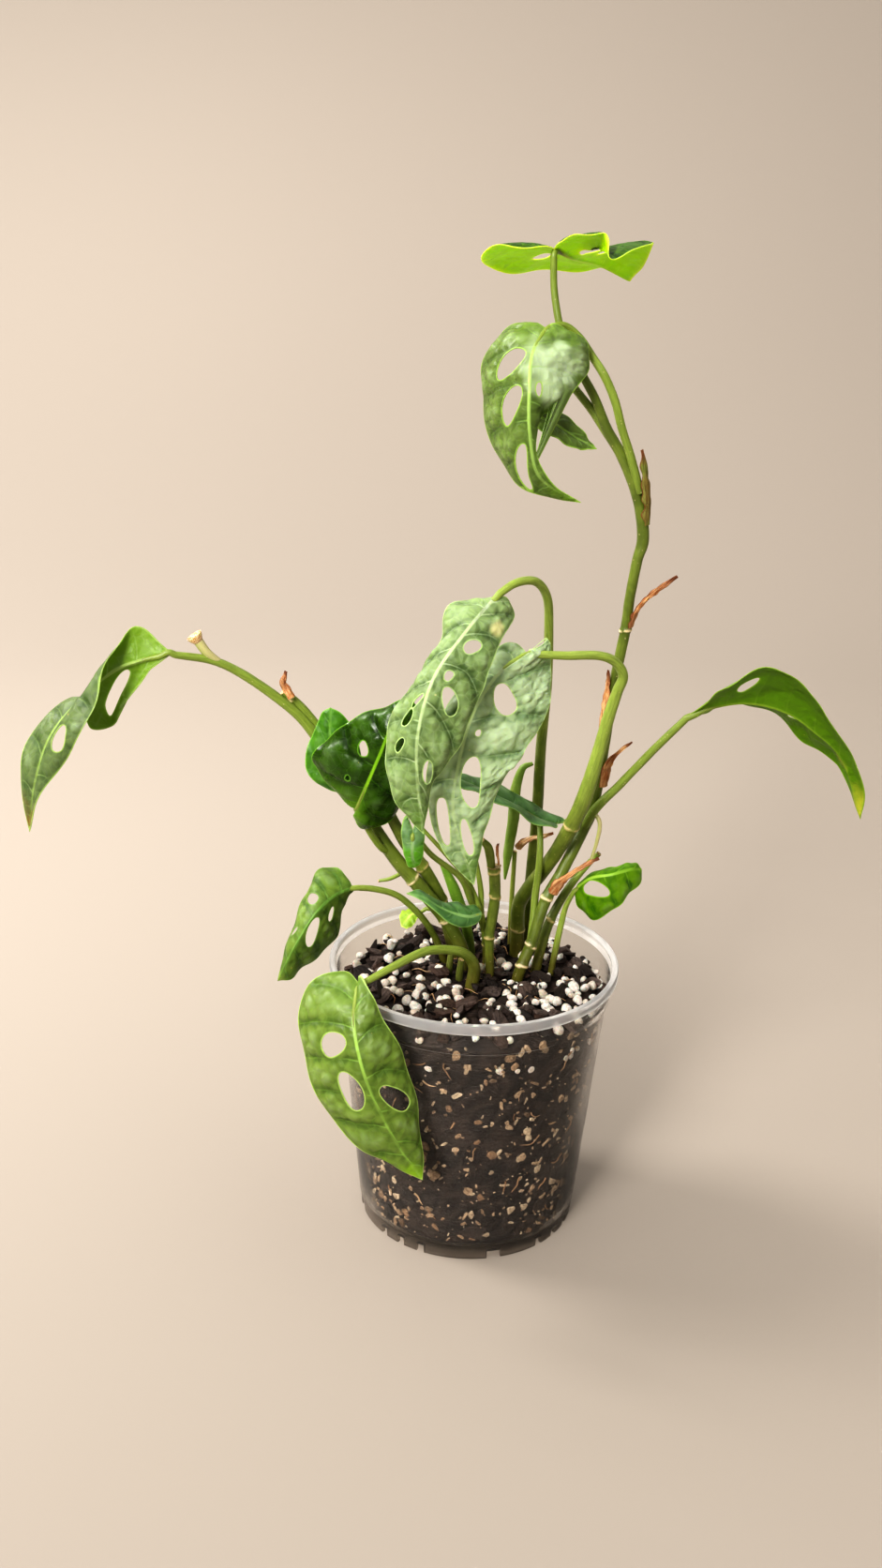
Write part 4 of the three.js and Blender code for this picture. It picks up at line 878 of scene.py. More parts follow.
@dataclass
class Stalk:
    """A stem or leaf stalk: a tube through knots that hold a place and the radius there."""

    knots: Sequence[Knot]
    rings: Sequence[Flat] = ()
    leaf: str = ""
    pale_from: float = 0.0
    bleached: float = 0.0
    flare: float = 1.0
    lip: float = 0.35
    SIDES = 22
    RING_GAP = 0.9
    SMOOTHING = (-3.0, -1.5, 0.0, 1.5, 3.0)
    CREASE = 0.16
    GNARL = 0.022

    def reach_radii(self, path: Curve, reaches: Array) -> Array:
        """Radii at distances along the path, smoothed.

        Args:
            path: The tube's line.
            reaches: The distances.

        Returns:
            A radius for each distance.
        """
        total = np.zeros(len(reaches))
        radii = [knot[3] for knot in self.knots]
        for shift in self.SMOOTHING:
            steps = path.step_at(np.clip(reaches + shift, 0, path.length)) * path.spans
            total += np.interp(steps, np.arange(len(radii)), radii)
        return total / len(self.SMOOTHING)

    def surfaces(self, end_gap: float) -> list[Surface]:
        """The tube, and its cut face where it carries no leaf.

        Args:
            end_gap: How far before the end of its line it ends.

        Returns:
            The surfaces.
        """
        path = Curve(self.knots)
        end = path.length - end_gap
        reaches = np.linspace(0.0, end, max(6, round(end / self.RING_GAP)) + 1)
        column = reaches[:, None]
        turn = circle(self.SIDES)
        radii = self.reach_radii(path, reaches)[:, None] * np.ones(self.SIDES)
        scar = np.zeros_like(radii)
        for i, (step, swell) in enumerate(self.rings):
            tilt = 0.7 * np.cos(turn + 1.9 * i + self.knots[0][0])
            away = column - path.reach_at(step / path.spans) - tilt
            radii += swell * np.exp(-((away / 1.1) ** 2))
            radii -= self.CREASE * np.exp(-(((away + 1.5) / 0.5) ** 2))
            uneven = 0.5 + 0.25 * np.cos(3 * turn + i)
            scar = np.maximum(scar, np.exp(-((away / uneven) ** 4)))
        scar = np.maximum(scar, self.bleached * (0.7 + 0.3 * np.cos(turn)))
        seed = int(abs(self.knots[0][0] * 7 + self.knots[-1][2]))
        bark = np.broadcast_arrays(np.cos(turn) * 3, np.sin(turn) * 3, column / 2.5)
        rough = ripples(np.stack(bark, -1).reshape(-1, 3), seed, 5.0)
        radii *= 1 + self.GNARL * rough.reshape(radii.shape)
        pale = fade(column / path.length, self.pale_from - 0.08, self.pale_from + 0.12)
        tube = tube_surface(path, reaches, radii)
        marks = np.stack(np.broadcast_arrays(pale, scar, 0.0), -1)
        tube.fields["marks"] = marks.reshape(-1, 3)
        return [tube] if self.leaf else [tube, self.cut_face(tube, path, end)]

    def cut_face(self, tube: Surface, path: Curve, end: float) -> Surface:
        """The face at a cut or broken end.

        Args:
            tube: The tube that it closes.
            path: The tube's line.
            end: Where the tube ends.

        Returns:
            The face, a little dished, with a lip where the end flares.
        """
        rim = tube.points[-self.SIDES:]
        centre, along = path.place(end)[0], path.along(end)[0]
        wide = self.flare
        shares = (0.96, 1.0, (1 + wide) / 2, wide, wide * 0.8, 0.4)
        lifts = (-0.6, -0.5, self.lip * 0.3, self.lip, self.lip * 0.6, -0.2)
        loops = [centre + (rim - centre) * share + along * lift for share, lift in zip(shares, lifts)]
        points = np.vstack(loops + [centre[None] - along * 0.3])
        faces = ring_faces(len(loops), self.SIDES)
        faces += fan((len(loops) - 1) * self.SIDES, self.SIDES, len(points) - 1)
        marks = np.tile([0.0, 0.0, 1.0], (len(points), 1))
        return Surface(points, faces, {"marks": marks, "grain": points - centre})


@dataclass
class Blade:
    """A leaf blade between its midrib and two margins.

    Side 1 is the right half and -1 the left half, seen from stalk to tip with the upper face up.
    Flat places are in millimetres along the midrib and across it. A hole says how far along and
    across it lies, half its length, half its width and its turn in degrees.
    """

    midrib: Sequence[Point]
    left: Sequence[Point]
    right: Sequence[Point]
    holes: Sequence[tuple[float, ...]] = ()
    knee: float = 0.0
    veins: int = 8
    quilt: float = 0.5
    crinkle: float = 0.5
    rib_width: float = 1.0
    patches: Sequence[Point] = ()
    spacing: float = 1.15
    ROWS = 240
    HALVINGS = 24
    CELLS = 7.0
    ARCH = 0.08
    WAVE = 0.8
    WAVES_ALONG_MARGIN = 5
    RIB_LINES = (0, 0.6, -0.6, 1.3, -1.3, 2.1, -2.1)
    GRID_FROM = 2.3
    STRIDE = 0.01
    WAVE_WIDTH = 15.0
    PROBE = 0.3

    def __post_init__(self) -> None:
        """Measures the rows that run from the midrib to the margins."""
        foot, tip = self.midrib[0], self.midrib[-1]
        self.line = Curve(self.midrib)
        self.margins = {1: Curve([foot, *self.right, tip]), -1: Curve([foot, *self.left, tip])}
        self.steps = np.linspace(0, 1, self.ROWS + 1)
        self.roots = self.share_at(self.steps) * self.line.length
        places, alongs = self.line.place(self.roots), self.line.along(self.roots)
        self.rims = {}
        for side, margin in self.margins.items():
            reach = margin.at(self.steps) - places
            forward = (reach * alongs).sum(-1)
            outward = np.sqrt(np.maximum((reach ** 2).sum(-1) - forward ** 2, 0))
            self.rims[side] = np.stack([self.roots + forward, side * outward], -1)

    def share_at(self, rows: Array) -> Array:
        """How far along the midrib rows start, as shares of its length."""
        return rows ** 2 * (2 - rows)

    def row(self, steps: Array, sides: Array | int) -> tuple[Array, Array]:
        """Flat ends of rows, at the midrib and at the margin.

        Args:
            steps: Numbers from 0 at the stalk to 1 at the tip.
            sides: The halves of the leaf that they lie in.

        Returns:
            The roots and the rims.
        """
        root = np.interp(steps, self.steps, self.roots)
        ends = []
        for axis in (0, 1):
            right, left = (np.interp(steps, self.steps, self.rims[s][:, axis]) for s in (1, -1))
            ends.append(np.where(sides == 1, right, left))
        return np.stack([root, 0 * root], -1), np.stack(ends, -1)

    def locate(self, flat: Array) -> tuple[Array, Array, Array]:
        """Finds the row, the share of the way out and the side of flat places, by halving.

        Args:
            flat: The flat places.

        Returns:
            Rows from 0 to 1, shares from 0 to 1, and sides.
        """
        sides = np.where(flat[:, 1] >= 0, 1, -1)
        low, high = np.zeros(len(flat)), np.ones(len(flat))
        for _ in range(self.HALVINGS + 1):
            rows = (low + high) / 2
            root, rim = self.row(rows, sides)
            reach, gap = rim - root, flat - root
            ahead = (reach[:, 0] * gap[:, 1] - reach[:, 1] * gap[:, 0]) * sides < 0
            low, high = np.where(ahead, rows, low), np.where(ahead, high, rows)
        whole = np.maximum(np.linalg.norm(reach, axis=1), 1e-6)
        return rows, np.minimum(np.linalg.norm(gap, axis=1) / whole, 1), sides

    def place(self, rows: Array, outs: Array, sides: Array) -> Array:
        """Points in space of the blade's middle surface.

        Args:
            rows: Rows from 0 to 1.
            outs: Shares of the way out.
            sides: Sides.

        Returns:
            One point in each row.
        """
        share, out, side = self.share_at(rows), outs[:, None], sides[:, None]
        roots = self.line.place(share * self.line.length)
        ribs, rims = [], []
        for shift in (self.STRIDE, -self.STRIDE):
            ribs.append(self.line.place(np.clip(share + shift, 0, 1) * self.line.length))
            rims.append(self.margin_at(np.clip(rows + shift, 0, 1), side))
        reach = self.margin_at(rows, side) - roots
        width = np.linalg.norm(reach, axis=1, keepdims=True)
        normal = unit(np.cross(reach, rims[0] - rims[1] + 2 * (ribs[0] - ribs[1]))) * side
        wave = np.sin(2 * math.pi * self.WAVES_ALONG_MARGIN * rows[:, None] + side)
        wave = self.WAVE * out ** 3 * wave * np.minimum(1, width / self.WAVE_WIDTH)
        return roots + reach * out + normal * (self.ARCH * width * 4 * out * (1 - out) + wave)

    def margin_at(self, rows: Array, side: Array) -> Array:
        """Points in space of the margins, one in each row."""
        return np.where(side == 1, self.margins[1].at(rows), self.margins[-1].at(rows))

    def outline(self) -> Array:
        """The blade's flat outline at an even spacing.

        Returns:
            Flat places from the stalk round the right half to the tip and back.
        """
        halves = []
        for side in (1, -1):
            gaps = np.linalg.norm(np.diff(self.rims[side], axis=0), axis=1)
            reaches = np.concatenate([[0], np.cumsum(gaps)])
            count = max(8, round(reaches[-1] / self.spacing))
            steps = np.interp(np.linspace(0, reaches[-1], count + 1), reaches, self.steps)
            halves.append(self.row(steps, side)[1])
        return np.vstack([halves[0], halves[1][-2:0:-1]])

    def hole_ring(self, hole: Sequence[float]) -> Array:
        """The flat edge of a hole.

        Args:
            hole: Its numbers.

        Returns:
            Its flat places.
        """
        along, across, half_length, half_width, degrees = hole
        length = math.pi * (half_length + half_width)
        angle = circle(max(12, round(length / (self.spacing * 0.8))))
        uneven = 1 + 0.05 * np.cos(3 * angle + along) + 0.04 * np.sin(2 * angle + across)
        x = half_length * np.cos(angle) * uneven
        y = half_width * np.sign(np.sin(angle)) * np.abs(np.sin(angle)) ** 0.85 * uneven
        c, s = math.cos(math.radians(degrees)), math.sin(math.radians(degrees))
        return np.stack([along + x * c - y * s, across + x * s + y * c], -1)

    def flat_places(self, rings: list[Array]) -> Array:
        """Flat places that fill the blade, in rows with lines beside the midrib.

        Args:
            rings: Its outline and the edges of its holes.

        Returns:
            The places, none of them near a ring or in a hole.
        """
        low, high = rings[0].min(0), rings[0].max(0)
        rise = self.spacing * 0.87
        lines = []
        for j in range(math.floor(low[1] / rise), math.ceil(high[1] / rise) + 1):
            if abs(j * rise) > self.GRID_FROM:
                x = np.arange(low[0] + (j % 2) * self.spacing / 2, high[0], self.spacing)
                lines.append(np.stack([x, 0 * x + j * rise], -1))
        rib = np.arange(self.spacing / 2, self.line.length, self.spacing)
        lines += [np.stack([rib, 0 * rib + across], -1) for across in self.RIB_LINES]
        places = np.vstack(lines)
        keep = self.on_blade(places, rings)
        for ring in rings:
            keep &= ring_distance(places, ring) > self.spacing * 0.45
        return places[keep]

    def on_blade(self, places: Array, rings: list[Array]) -> Array:
        """Which flat places lie in the outline and outside each hole."""
        holes = [inside(places, ring) for ring in rings[1:]]
        return inside(places, rings[0]) & ~np.any([np.zeros(len(places), bool), *holes], axis=0)

    def flat_mesh(self) -> tuple[Array, Array, list[Array]]:
        """The flat blade in triangles.

        Returns:
            Its places, its triangles, and the rings of its outline and holes.
        """
        rings = [self.outline()] + [self.hole_ring(hole) for hole in self.holes]
        places = np.vstack(rings + [self.flat_places(rings)])
        edges, base = [], 0
        for ring in rings:
            edges += [face[:2] for face in ring_faces(2, len(ring), base)]
            base += len(ring)
        result = delaunay_2d_cdt(places.tolist(), edges, [], 0, 1e-4)
        flat, faces = np.array([tuple(vertex) for vertex in result[0]]), np.array(result[2])
        faces = faces[self.on_blade(flat[faces].mean(axis=1), rings)]
        used, renumbered = np.unique(faces, return_inverse=True)
        return flat[used], renumbered.reshape(faces.shape), rings

    def phase(self, flat: Array) -> Array:
        """Counts the side veins: a whole number is on a vein.

        Args:
            flat: The flat places.

        Returns:
            A number for each place.
        """
        rows, outs, sides = self.locate(flat)
        bend = 0.25 * sides + 0.35 * outs * np.sin(rows * 9 + sides)
        return self.veins * (rows - 0.05 * outs ** 2) + bend

    def cushions(self, flat: Array) -> Array:
        """The raised cells between the finer veins.

        Args:
            flat: The flat places.

        Returns:
            A number for each place, from 0 in a crease to 1 on top of a cell.
        """
        draw = np.random.default_rng(self.veins * 31 + int(self.line.length))
        low, high = flat.min(0) - self.CELLS, flat.max(0) + self.CELLS
        along = np.arange(low[0], high[0], self.CELLS)
        across = np.arange(low[1], high[1], self.CELLS * 0.8)
        seeds = np.stack(np.meshgrid(along, across), -1).reshape(-1, 2)
        seeds = seeds + draw.uniform(-0.42, 0.42, seeds.shape) * self.CELLS
        gaps = np.linalg.norm(flat[:, None] - seeds[None], axis=-1)
        nearest = np.partition(gaps, 1, axis=1)
        return fade((nearest[:, 1] - nearest[:, 0]) / self.CELLS, -0.25, 0.62)

    def surface(self) -> Surface:
        """The blade as a thin closed plate with its veins in relief.

        Returns:
            The blade.
        """
        flat, faces, rings = self.flat_mesh()
        rows, outs, sides = self.locate(flat)
        phase = self.phase(flat)
        probes = np.array([[self.PROBE, 0.0], [0.0, self.PROBE]])
        slopes = [(self.phase(flat + s) - self.phase(flat - s)) / (2 * self.PROBE) for s in probes]
        slope = np.clip(np.hypot(*slopes), 0.004, 1.2)
        edge = np.min([ring_distance(flat, ring) for ring in rings], axis=0)
        rib = np.abs(flat[:, 1])
        off_rib = fade(rib, 0.8, 6.0) * fade(edge, 0.0, 4.5)
        between = np.abs(np.sin(math.pi * phase)) ** 0.7 - 0.55
        swollen = between * off_rib * (1 + 0.6 * ripples(flat, self.veins + 3, 9.0))
        cushions = self.cushions(flat)
        uneven = 0.7 + 0.5 * ripples(flat, self.veins + 5, 22.0)
        relief = 1.3 * self.quilt * swollen * np.clip(0.16 / slope / 1.2, 0.35, 1.25)
        relief += 0.8 * self.quilt * (cushions - 0.5) * uneven * off_rib
        relief += self.crinkle * ripples(flat, self.veins + 11, 19.0) * fade(rib, 0.5, 8.0)
        ahead = np.clip(flat[:, 0] / self.line.length, 0, 1)
        groove = np.exp(-((rib / (1.1 * self.rib_width)) ** 2)) * (1 - 0.6 * ahead)
        groove = groove * fade(flat[:, 0], -3, 3) * fade(edge, 0, 1.5)
        middle, upper = self.place(rows, outs, sides), faces[:, ::-1]
        middle = middle + point_normals(middle, upper) * relief[:, None]
        # Patches that take the finish's patch colour: a painted reflection on the upper leaf, pale patches
        # elsewhere.
        patch = np.zeros(len(flat))
        for along, across, size in self.patches:
            away = np.hypot(flat[:, 0] - along, flat[:, 1] - across) / size
            patch = np.maximum(patch, fade(-away - 0.2 * ripples(flat, 5, 9.0), -1.2, -0.35))
        half = 0.16 + 0.1 * fade(edge, 0.0, 2.5)
        below = half + groove * (0.9 - 0.5625 * ahead) * self.rib_width
        above = half - groove * 0.18
        plate = plate_surface(middle, point_normals(middle, upper), above, below, upper, {
            "pattern": np.stack([phase, slope, edge], -1),
            "rib": rib,
            # A mask from the relief, which the leaf's material turns into painted shade in the creases and
            # a painted sheen on the crests.
            "relief_shading": np.clip(0.3 + 0.25 * cushions + 0.7 * swollen, 0, 1),
            "blade": np.stack([rows, outs, patch], -1),
        })
        upward = np.repeat([1.0, 0.0], len(flat))
        plate.fields["flat"] = np.column_stack([np.vstack([flat, flat]), upward])
        return plate

    def knee_surface(self, stalk: Stalk) -> Surface:
        """The end of the leaf stalk, which runs on under the blade as its midrib.

        Args:
            stalk: The stalk that carries the leaf.

        Returns:
            The knee.
        """
        path = Curve(stalk.knots)
        start = path.length - self.knee
        shafts = list(path.place(np.arange(start, path.length - 1.2, 1.6)))
        run = min(0.34 * self.line.length, 30.0)
        radius = stalk.knots[-1][3]
        for reach in np.arange(2.2, run, 3.0):
            near = [[reach, 1.5], [reach, -1.5], [reach - 1.5, 0.001], [reach + 1.5, 0.001]]
            right, left, back, front = self.place(*self.locate(np.array(near)))
            up = unit(np.cross(right - left, front - back))
            sink = radius * 0.5 * (1 - reach / run) + 0.15
            shafts.append((right + left) / 2 - up * sink)
        line = Curve(shafts)
        reaches = np.linspace(0, line.length, max(8, round(line.length / 0.8)))
        first = stalk.reach_radii(path, np.array([start]))[0]
        marks = [0, self.knee - 1.5, self.knee + 3, line.length]
        radii = np.interp(reaches, marks, [first, radius, radius * 0.9, 0.3])
        tube = tube_surface(line, reaches, radii, stalk.SIDES, closed=True)
        tube.fields["marks"] = np.tile([1.0, 0.0, 0.0], (len(tube.points), 1))
        tube.material = 1
        return tube


@dataclass
class Leaf:
    """A whole leaf: blade, lobe where it has one, and the knee of its stalk."""

    finish: LeafFinish
    blade: Blade
    lobe: Blade | None = None
    slot: str = "green_leaf"

    def build(self, name: str, stalk: Stalk, effects: Effects, stem: Material) -> None:
        """Builds and dresses the leaf.

        Args:
            name: Its node.
            stalk: The stalk that carries it.
            effects: The shared effects.
            stem: The material of the stalk.
        """
        surfaces = [blade.surface() for blade in (self.blade, self.lobe) if blade]
        surfaces.append(self.blade.knee_surface(stalk))
        look = self.finish.material(name.replace("_", " "), effects)
        seat_piece(make_piece(f"{name}_blade", surfaces, [look, stem]), name)


@dataclass
class Shoot:
    """A shoot: the stems and leaf stalks that have grown together."""

    stalks: Sequence[Stalk]
    finish: StemFinish = StemFinish()
    slot: str = "green_stem"
    OVERLAP = 0.7

    def build(self, name: str, leaves: dict[str, Leaf], material: Material) -> None:
        """Builds and dresses the shoot.

        Args:
            name: Its node.
            leaves: All the leaves, by node.
            material: Its material.
        """
        surfaces = []
        for stalk in self.stalks:
            gap = leaves[stalk.leaf].blade.knee - self.OVERLAP if stalk.leaf else 0.0
            surfaces.extend(stalk.surfaces(gap))
        seat_piece(make_piece(f"{name}_shoot", surfaces, [material]), name)


@dataclass
class Sheath:
    """A dried sheath: a curled strip of papery skin, frayed at its end."""

    backs: Sequence[Point]
    half_widths: Sequence[float]
    curls: Sequence[float]
    outward: tuple[Point, Point]
    finish: SheathFinish = SheathFinish()
    ALONG = 56
    ACROSS = 16
    THICKNESS = 0.26

    def surface(self) -> Surface:
        """The strip as a thin closed plate.

        Returns:
            The strip.
        """
        path = Curve(self.backs)
        seed = int(self.backs[0][2])
        steps = np.linspace(0, 1, self.ALONG)
        counted = np.linspace(0, 1, len(self.backs))
        widths = np.interp(steps, counted, self.half_widths)
        curls = np.interp(steps, counted, self.curls)[:, None]
        along = path.along(path.reach_at(steps))
        first, last = (np.array(way, float) for way in self.outward)
        out = first + (last - first) * steps[:, None]
        out = unit(out - along * (out * along).sum(-1, keepdims=True))
        side = np.cross(along, out)
        shape = (self.ALONG, self.ACROSS)
        grid_step, grid_across = np.meshgrid(steps, np.linspace(-1, 1, self.ACROSS), indexing="ij")
        flat = np.stack([grid_step.ravel() * path.length, grid_across.ravel() * 3], -1)
        frayed = 1 + 0.22 * ripples(flat, seed, 5.0) * fade(np.abs(flat[:, 1]), 1.2, 3.0)
        frayed = frayed * (1 - 0.25 * fade(flat[:, 0] / path.length, 0.8, 1.0))
        turn = grid_across * (widths[:, None] / curls) * frayed.reshape(shape)
        lift = 0.28 * ripples(flat * [1.0, 2.2], seed + 5, 6.0).reshape(shape)
        lift = (lift + 0.1 * np.cos(grid_across * 13 + grid_step * 3)) * fade(grid_step, 0.0, 0.25)
        centre = path.at(steps) - out * curls
        ray = out[:, None] * np.cos(turn)[..., None] + side[:, None] * np.sin(turn)[..., None]
        middle = (centre[:, None] + ray * (curls + lift)[..., None]).reshape(-1, 3)
        index = np.arange(len(middle)).reshape(shape)
        corners = (index[:-1, :-1], index[:-1, 1:], index[1:, 1:], index[1:, :-1])
        faces = np.stack([corner.ravel() for corner in corners], -1)
        half = np.full(len(middle), self.THICKNESS / 2)
        worn = np.maximum(np.abs(grid_across) ** 4, fade(grid_step, 0.7, 1.0)).ravel()
        grain = np.stack([turn.ravel() * 3, 0 * flat[:, 0] + seed, flat[:, 0]], -1)
        normals = point_normals(middle, faces)
        return plate_surface(middle, normals, half, half, faces, {"worn": worn, "grain": grain})

    def build(self, name: str, material: Material) -> None:
        """Builds and dresses the sheath."""
        seat_piece(make_piece(f"{name}_skin", [self.surface()], [material]), name)


class Lumps:
    """Small closed crumbs of bark, perlite and fibre, gathered in one surface."""

    def __init__(self, level: int, seed: int) -> None:
        """Prepares the shape that each crumb starts from.

        Args:
            level: How finely it is divided.
            seed: Seeds all the draws.
        """
        mesh = bmesh.new()
        bmesh.ops.create_icosphere(mesh, subdivisions=level, radius=1.0)
        self.ball = np.array([vertex.co[:] for vertex in mesh.verts])
        self.faces = np.array([[vertex.index for vertex in face.verts] for face in mesh.faces])
        mesh.free()
        self.draw = np.random.default_rng(seed)
        self.points: list[Array] = []
        self.grains: list[Array] = []
        self.tones: list[float] = []

    def tipped(self, tilt: float) -> Matrix:
        """A turn about Z after a small tilt of at most this many radians."""
        tip, roll = (turned(self.draw.uniform(-tilt, tilt), axis) for axis in "XY")
        return turned(self.draw.uniform(0, WHOLE_TURN), "Z") @ tip @ roll

    def add(
        self, place: Point, half: Array, turn: Matrix, cuts: int, uneven: float,
        tones: Flat = (0.0, 1.0),
    ) -> None:
        """Adds a crumb.

        Args:
            place: Its centre.
            half: Half its length, width and height.
            turn: Its turn.
            cuts: How many flat faces are broken off it.
            uneven: How lumpy it is.
            tones: The range of its tone.
        """
        tone = self.draw.uniform(*tones)
        shape = self.ball.copy()
        if cuts:
            shape = np.sign(shape) * np.abs(shape) ** 0.62
        lumpy = ripples(self.ball, int(self.draw.integers(1 << 30)), 1.7)
        shape = shape * (1 + uneven * lumpy[:, None])
        for _ in range(cuts):
            way = unit(self.draw.normal(size=3) * [1.0, 1.0, 0.6])
            over = np.maximum(shape @ way - self.draw.uniform(0.45, 0.85), 0)
            shape -= over[:, None] * way
        local = shape * half
        self.points.append(local @ np.array(turn).T + place)
        self.grains.append(local[:, [1, 2, 0]] + self.draw.uniform(-200, 200, 3))
        self.tones.append(tone)

    def surface(self) -> Surface:
        """All the crumbs.

        Returns:
            One surface.
        """
        count = len(self.ball)
        shifts = np.arange(len(self.points)) * count
        faces = (self.faces[None] + shifts[:, None, None]).reshape(-1, 3)
        fields = {"grain": np.concatenate(self.grains), "tone": np.repeat(self.tones, count)}
        return Surface(np.concatenate(self.points), [tuple(f) for f in faces.tolist()], fields)


def wall_radius(height: Array) -> Array:
    """The pot's inner radius at heights above the ground, less a hair."""
    heights, radii = zip(*INNER_WALL)
    return np.interp(height, heights, radii) - HAIR


def pressed(surface: Surface, gap: float = 0.0) -> Surface:
    """Presses what would go through the pot's wall flat against it.

    Args:
        surface: The surface to press.
        gap: How far from the wall it stays.

    Returns:
        The same surface.
    """
    away = np.hypot(surface.points[:, 0], surface.points[:, 1])
    limit = wall_radius(surface.points[:, 2]) - gap
    squeeze = np.where(away > limit, limit / np.maximum(away, 1e-6), 1.0)
    surface.points[:, :2] *= squeeze[:, None]
    surface.points[:, 2] = np.maximum(surface.points[:, 2], CHANNEL_HEIGHT + WALL + 0.2)
    return surface


@dataclass(frozen=True)
class WallLayer:
    """Crumbs that lie against the pot's wall: how many, and how long, flat and slim they are."""

    count: int
    size: Flat
    flat: float
    cuts: int
    slim: float = 0.45
    level: int = 2
    gap: float = 0.0
    heights: Flat = (CHANNEL_HEIGHT + 4, MIX_TOP - 4)
    tones: Flat = (0.0, 1.0)
    UNEVEN = 0.2

    def surface(self, seed: int) -> Surface:
        """The crumbs, pressed against the wall.

        Args:
            seed: Seeds their places and shapes.

        Returns:
            All of them.
        """
        lumps = Lumps(self.level, seed)
        draw = lumps.draw
        low, high = self.heights
        short, longest = self.size
        for _ in range(self.count):
            z, angle = low + (high - low) * draw.uniform() ** 1.25, draw.uniform(0, WHOLE_TURN)
            long = short + (longest - short) * draw.uniform() ** 1.8
            half = np.array([long, long * draw.uniform(self.slim, 0.9), max(0.35, long * self.flat)])
            away = float(wall_radius(z)) - half[2] * 0.55
            spin, lean = turned(draw.uniform(0, WHOLE_TURN), "Z"), turned(draw.uniform(-0.3, 0.3), "Y")
            turn = turned(angle, "Z") @ turned(math.pi / 2, "Y") @ spin @ lean
            place = (away * math.cos(angle), away * math.sin(angle), z)
            lumps.add(place, half, turn, self.cuts, self.UNEVEN, self.tones)
        return pressed(lumps.surface(), self.gap)


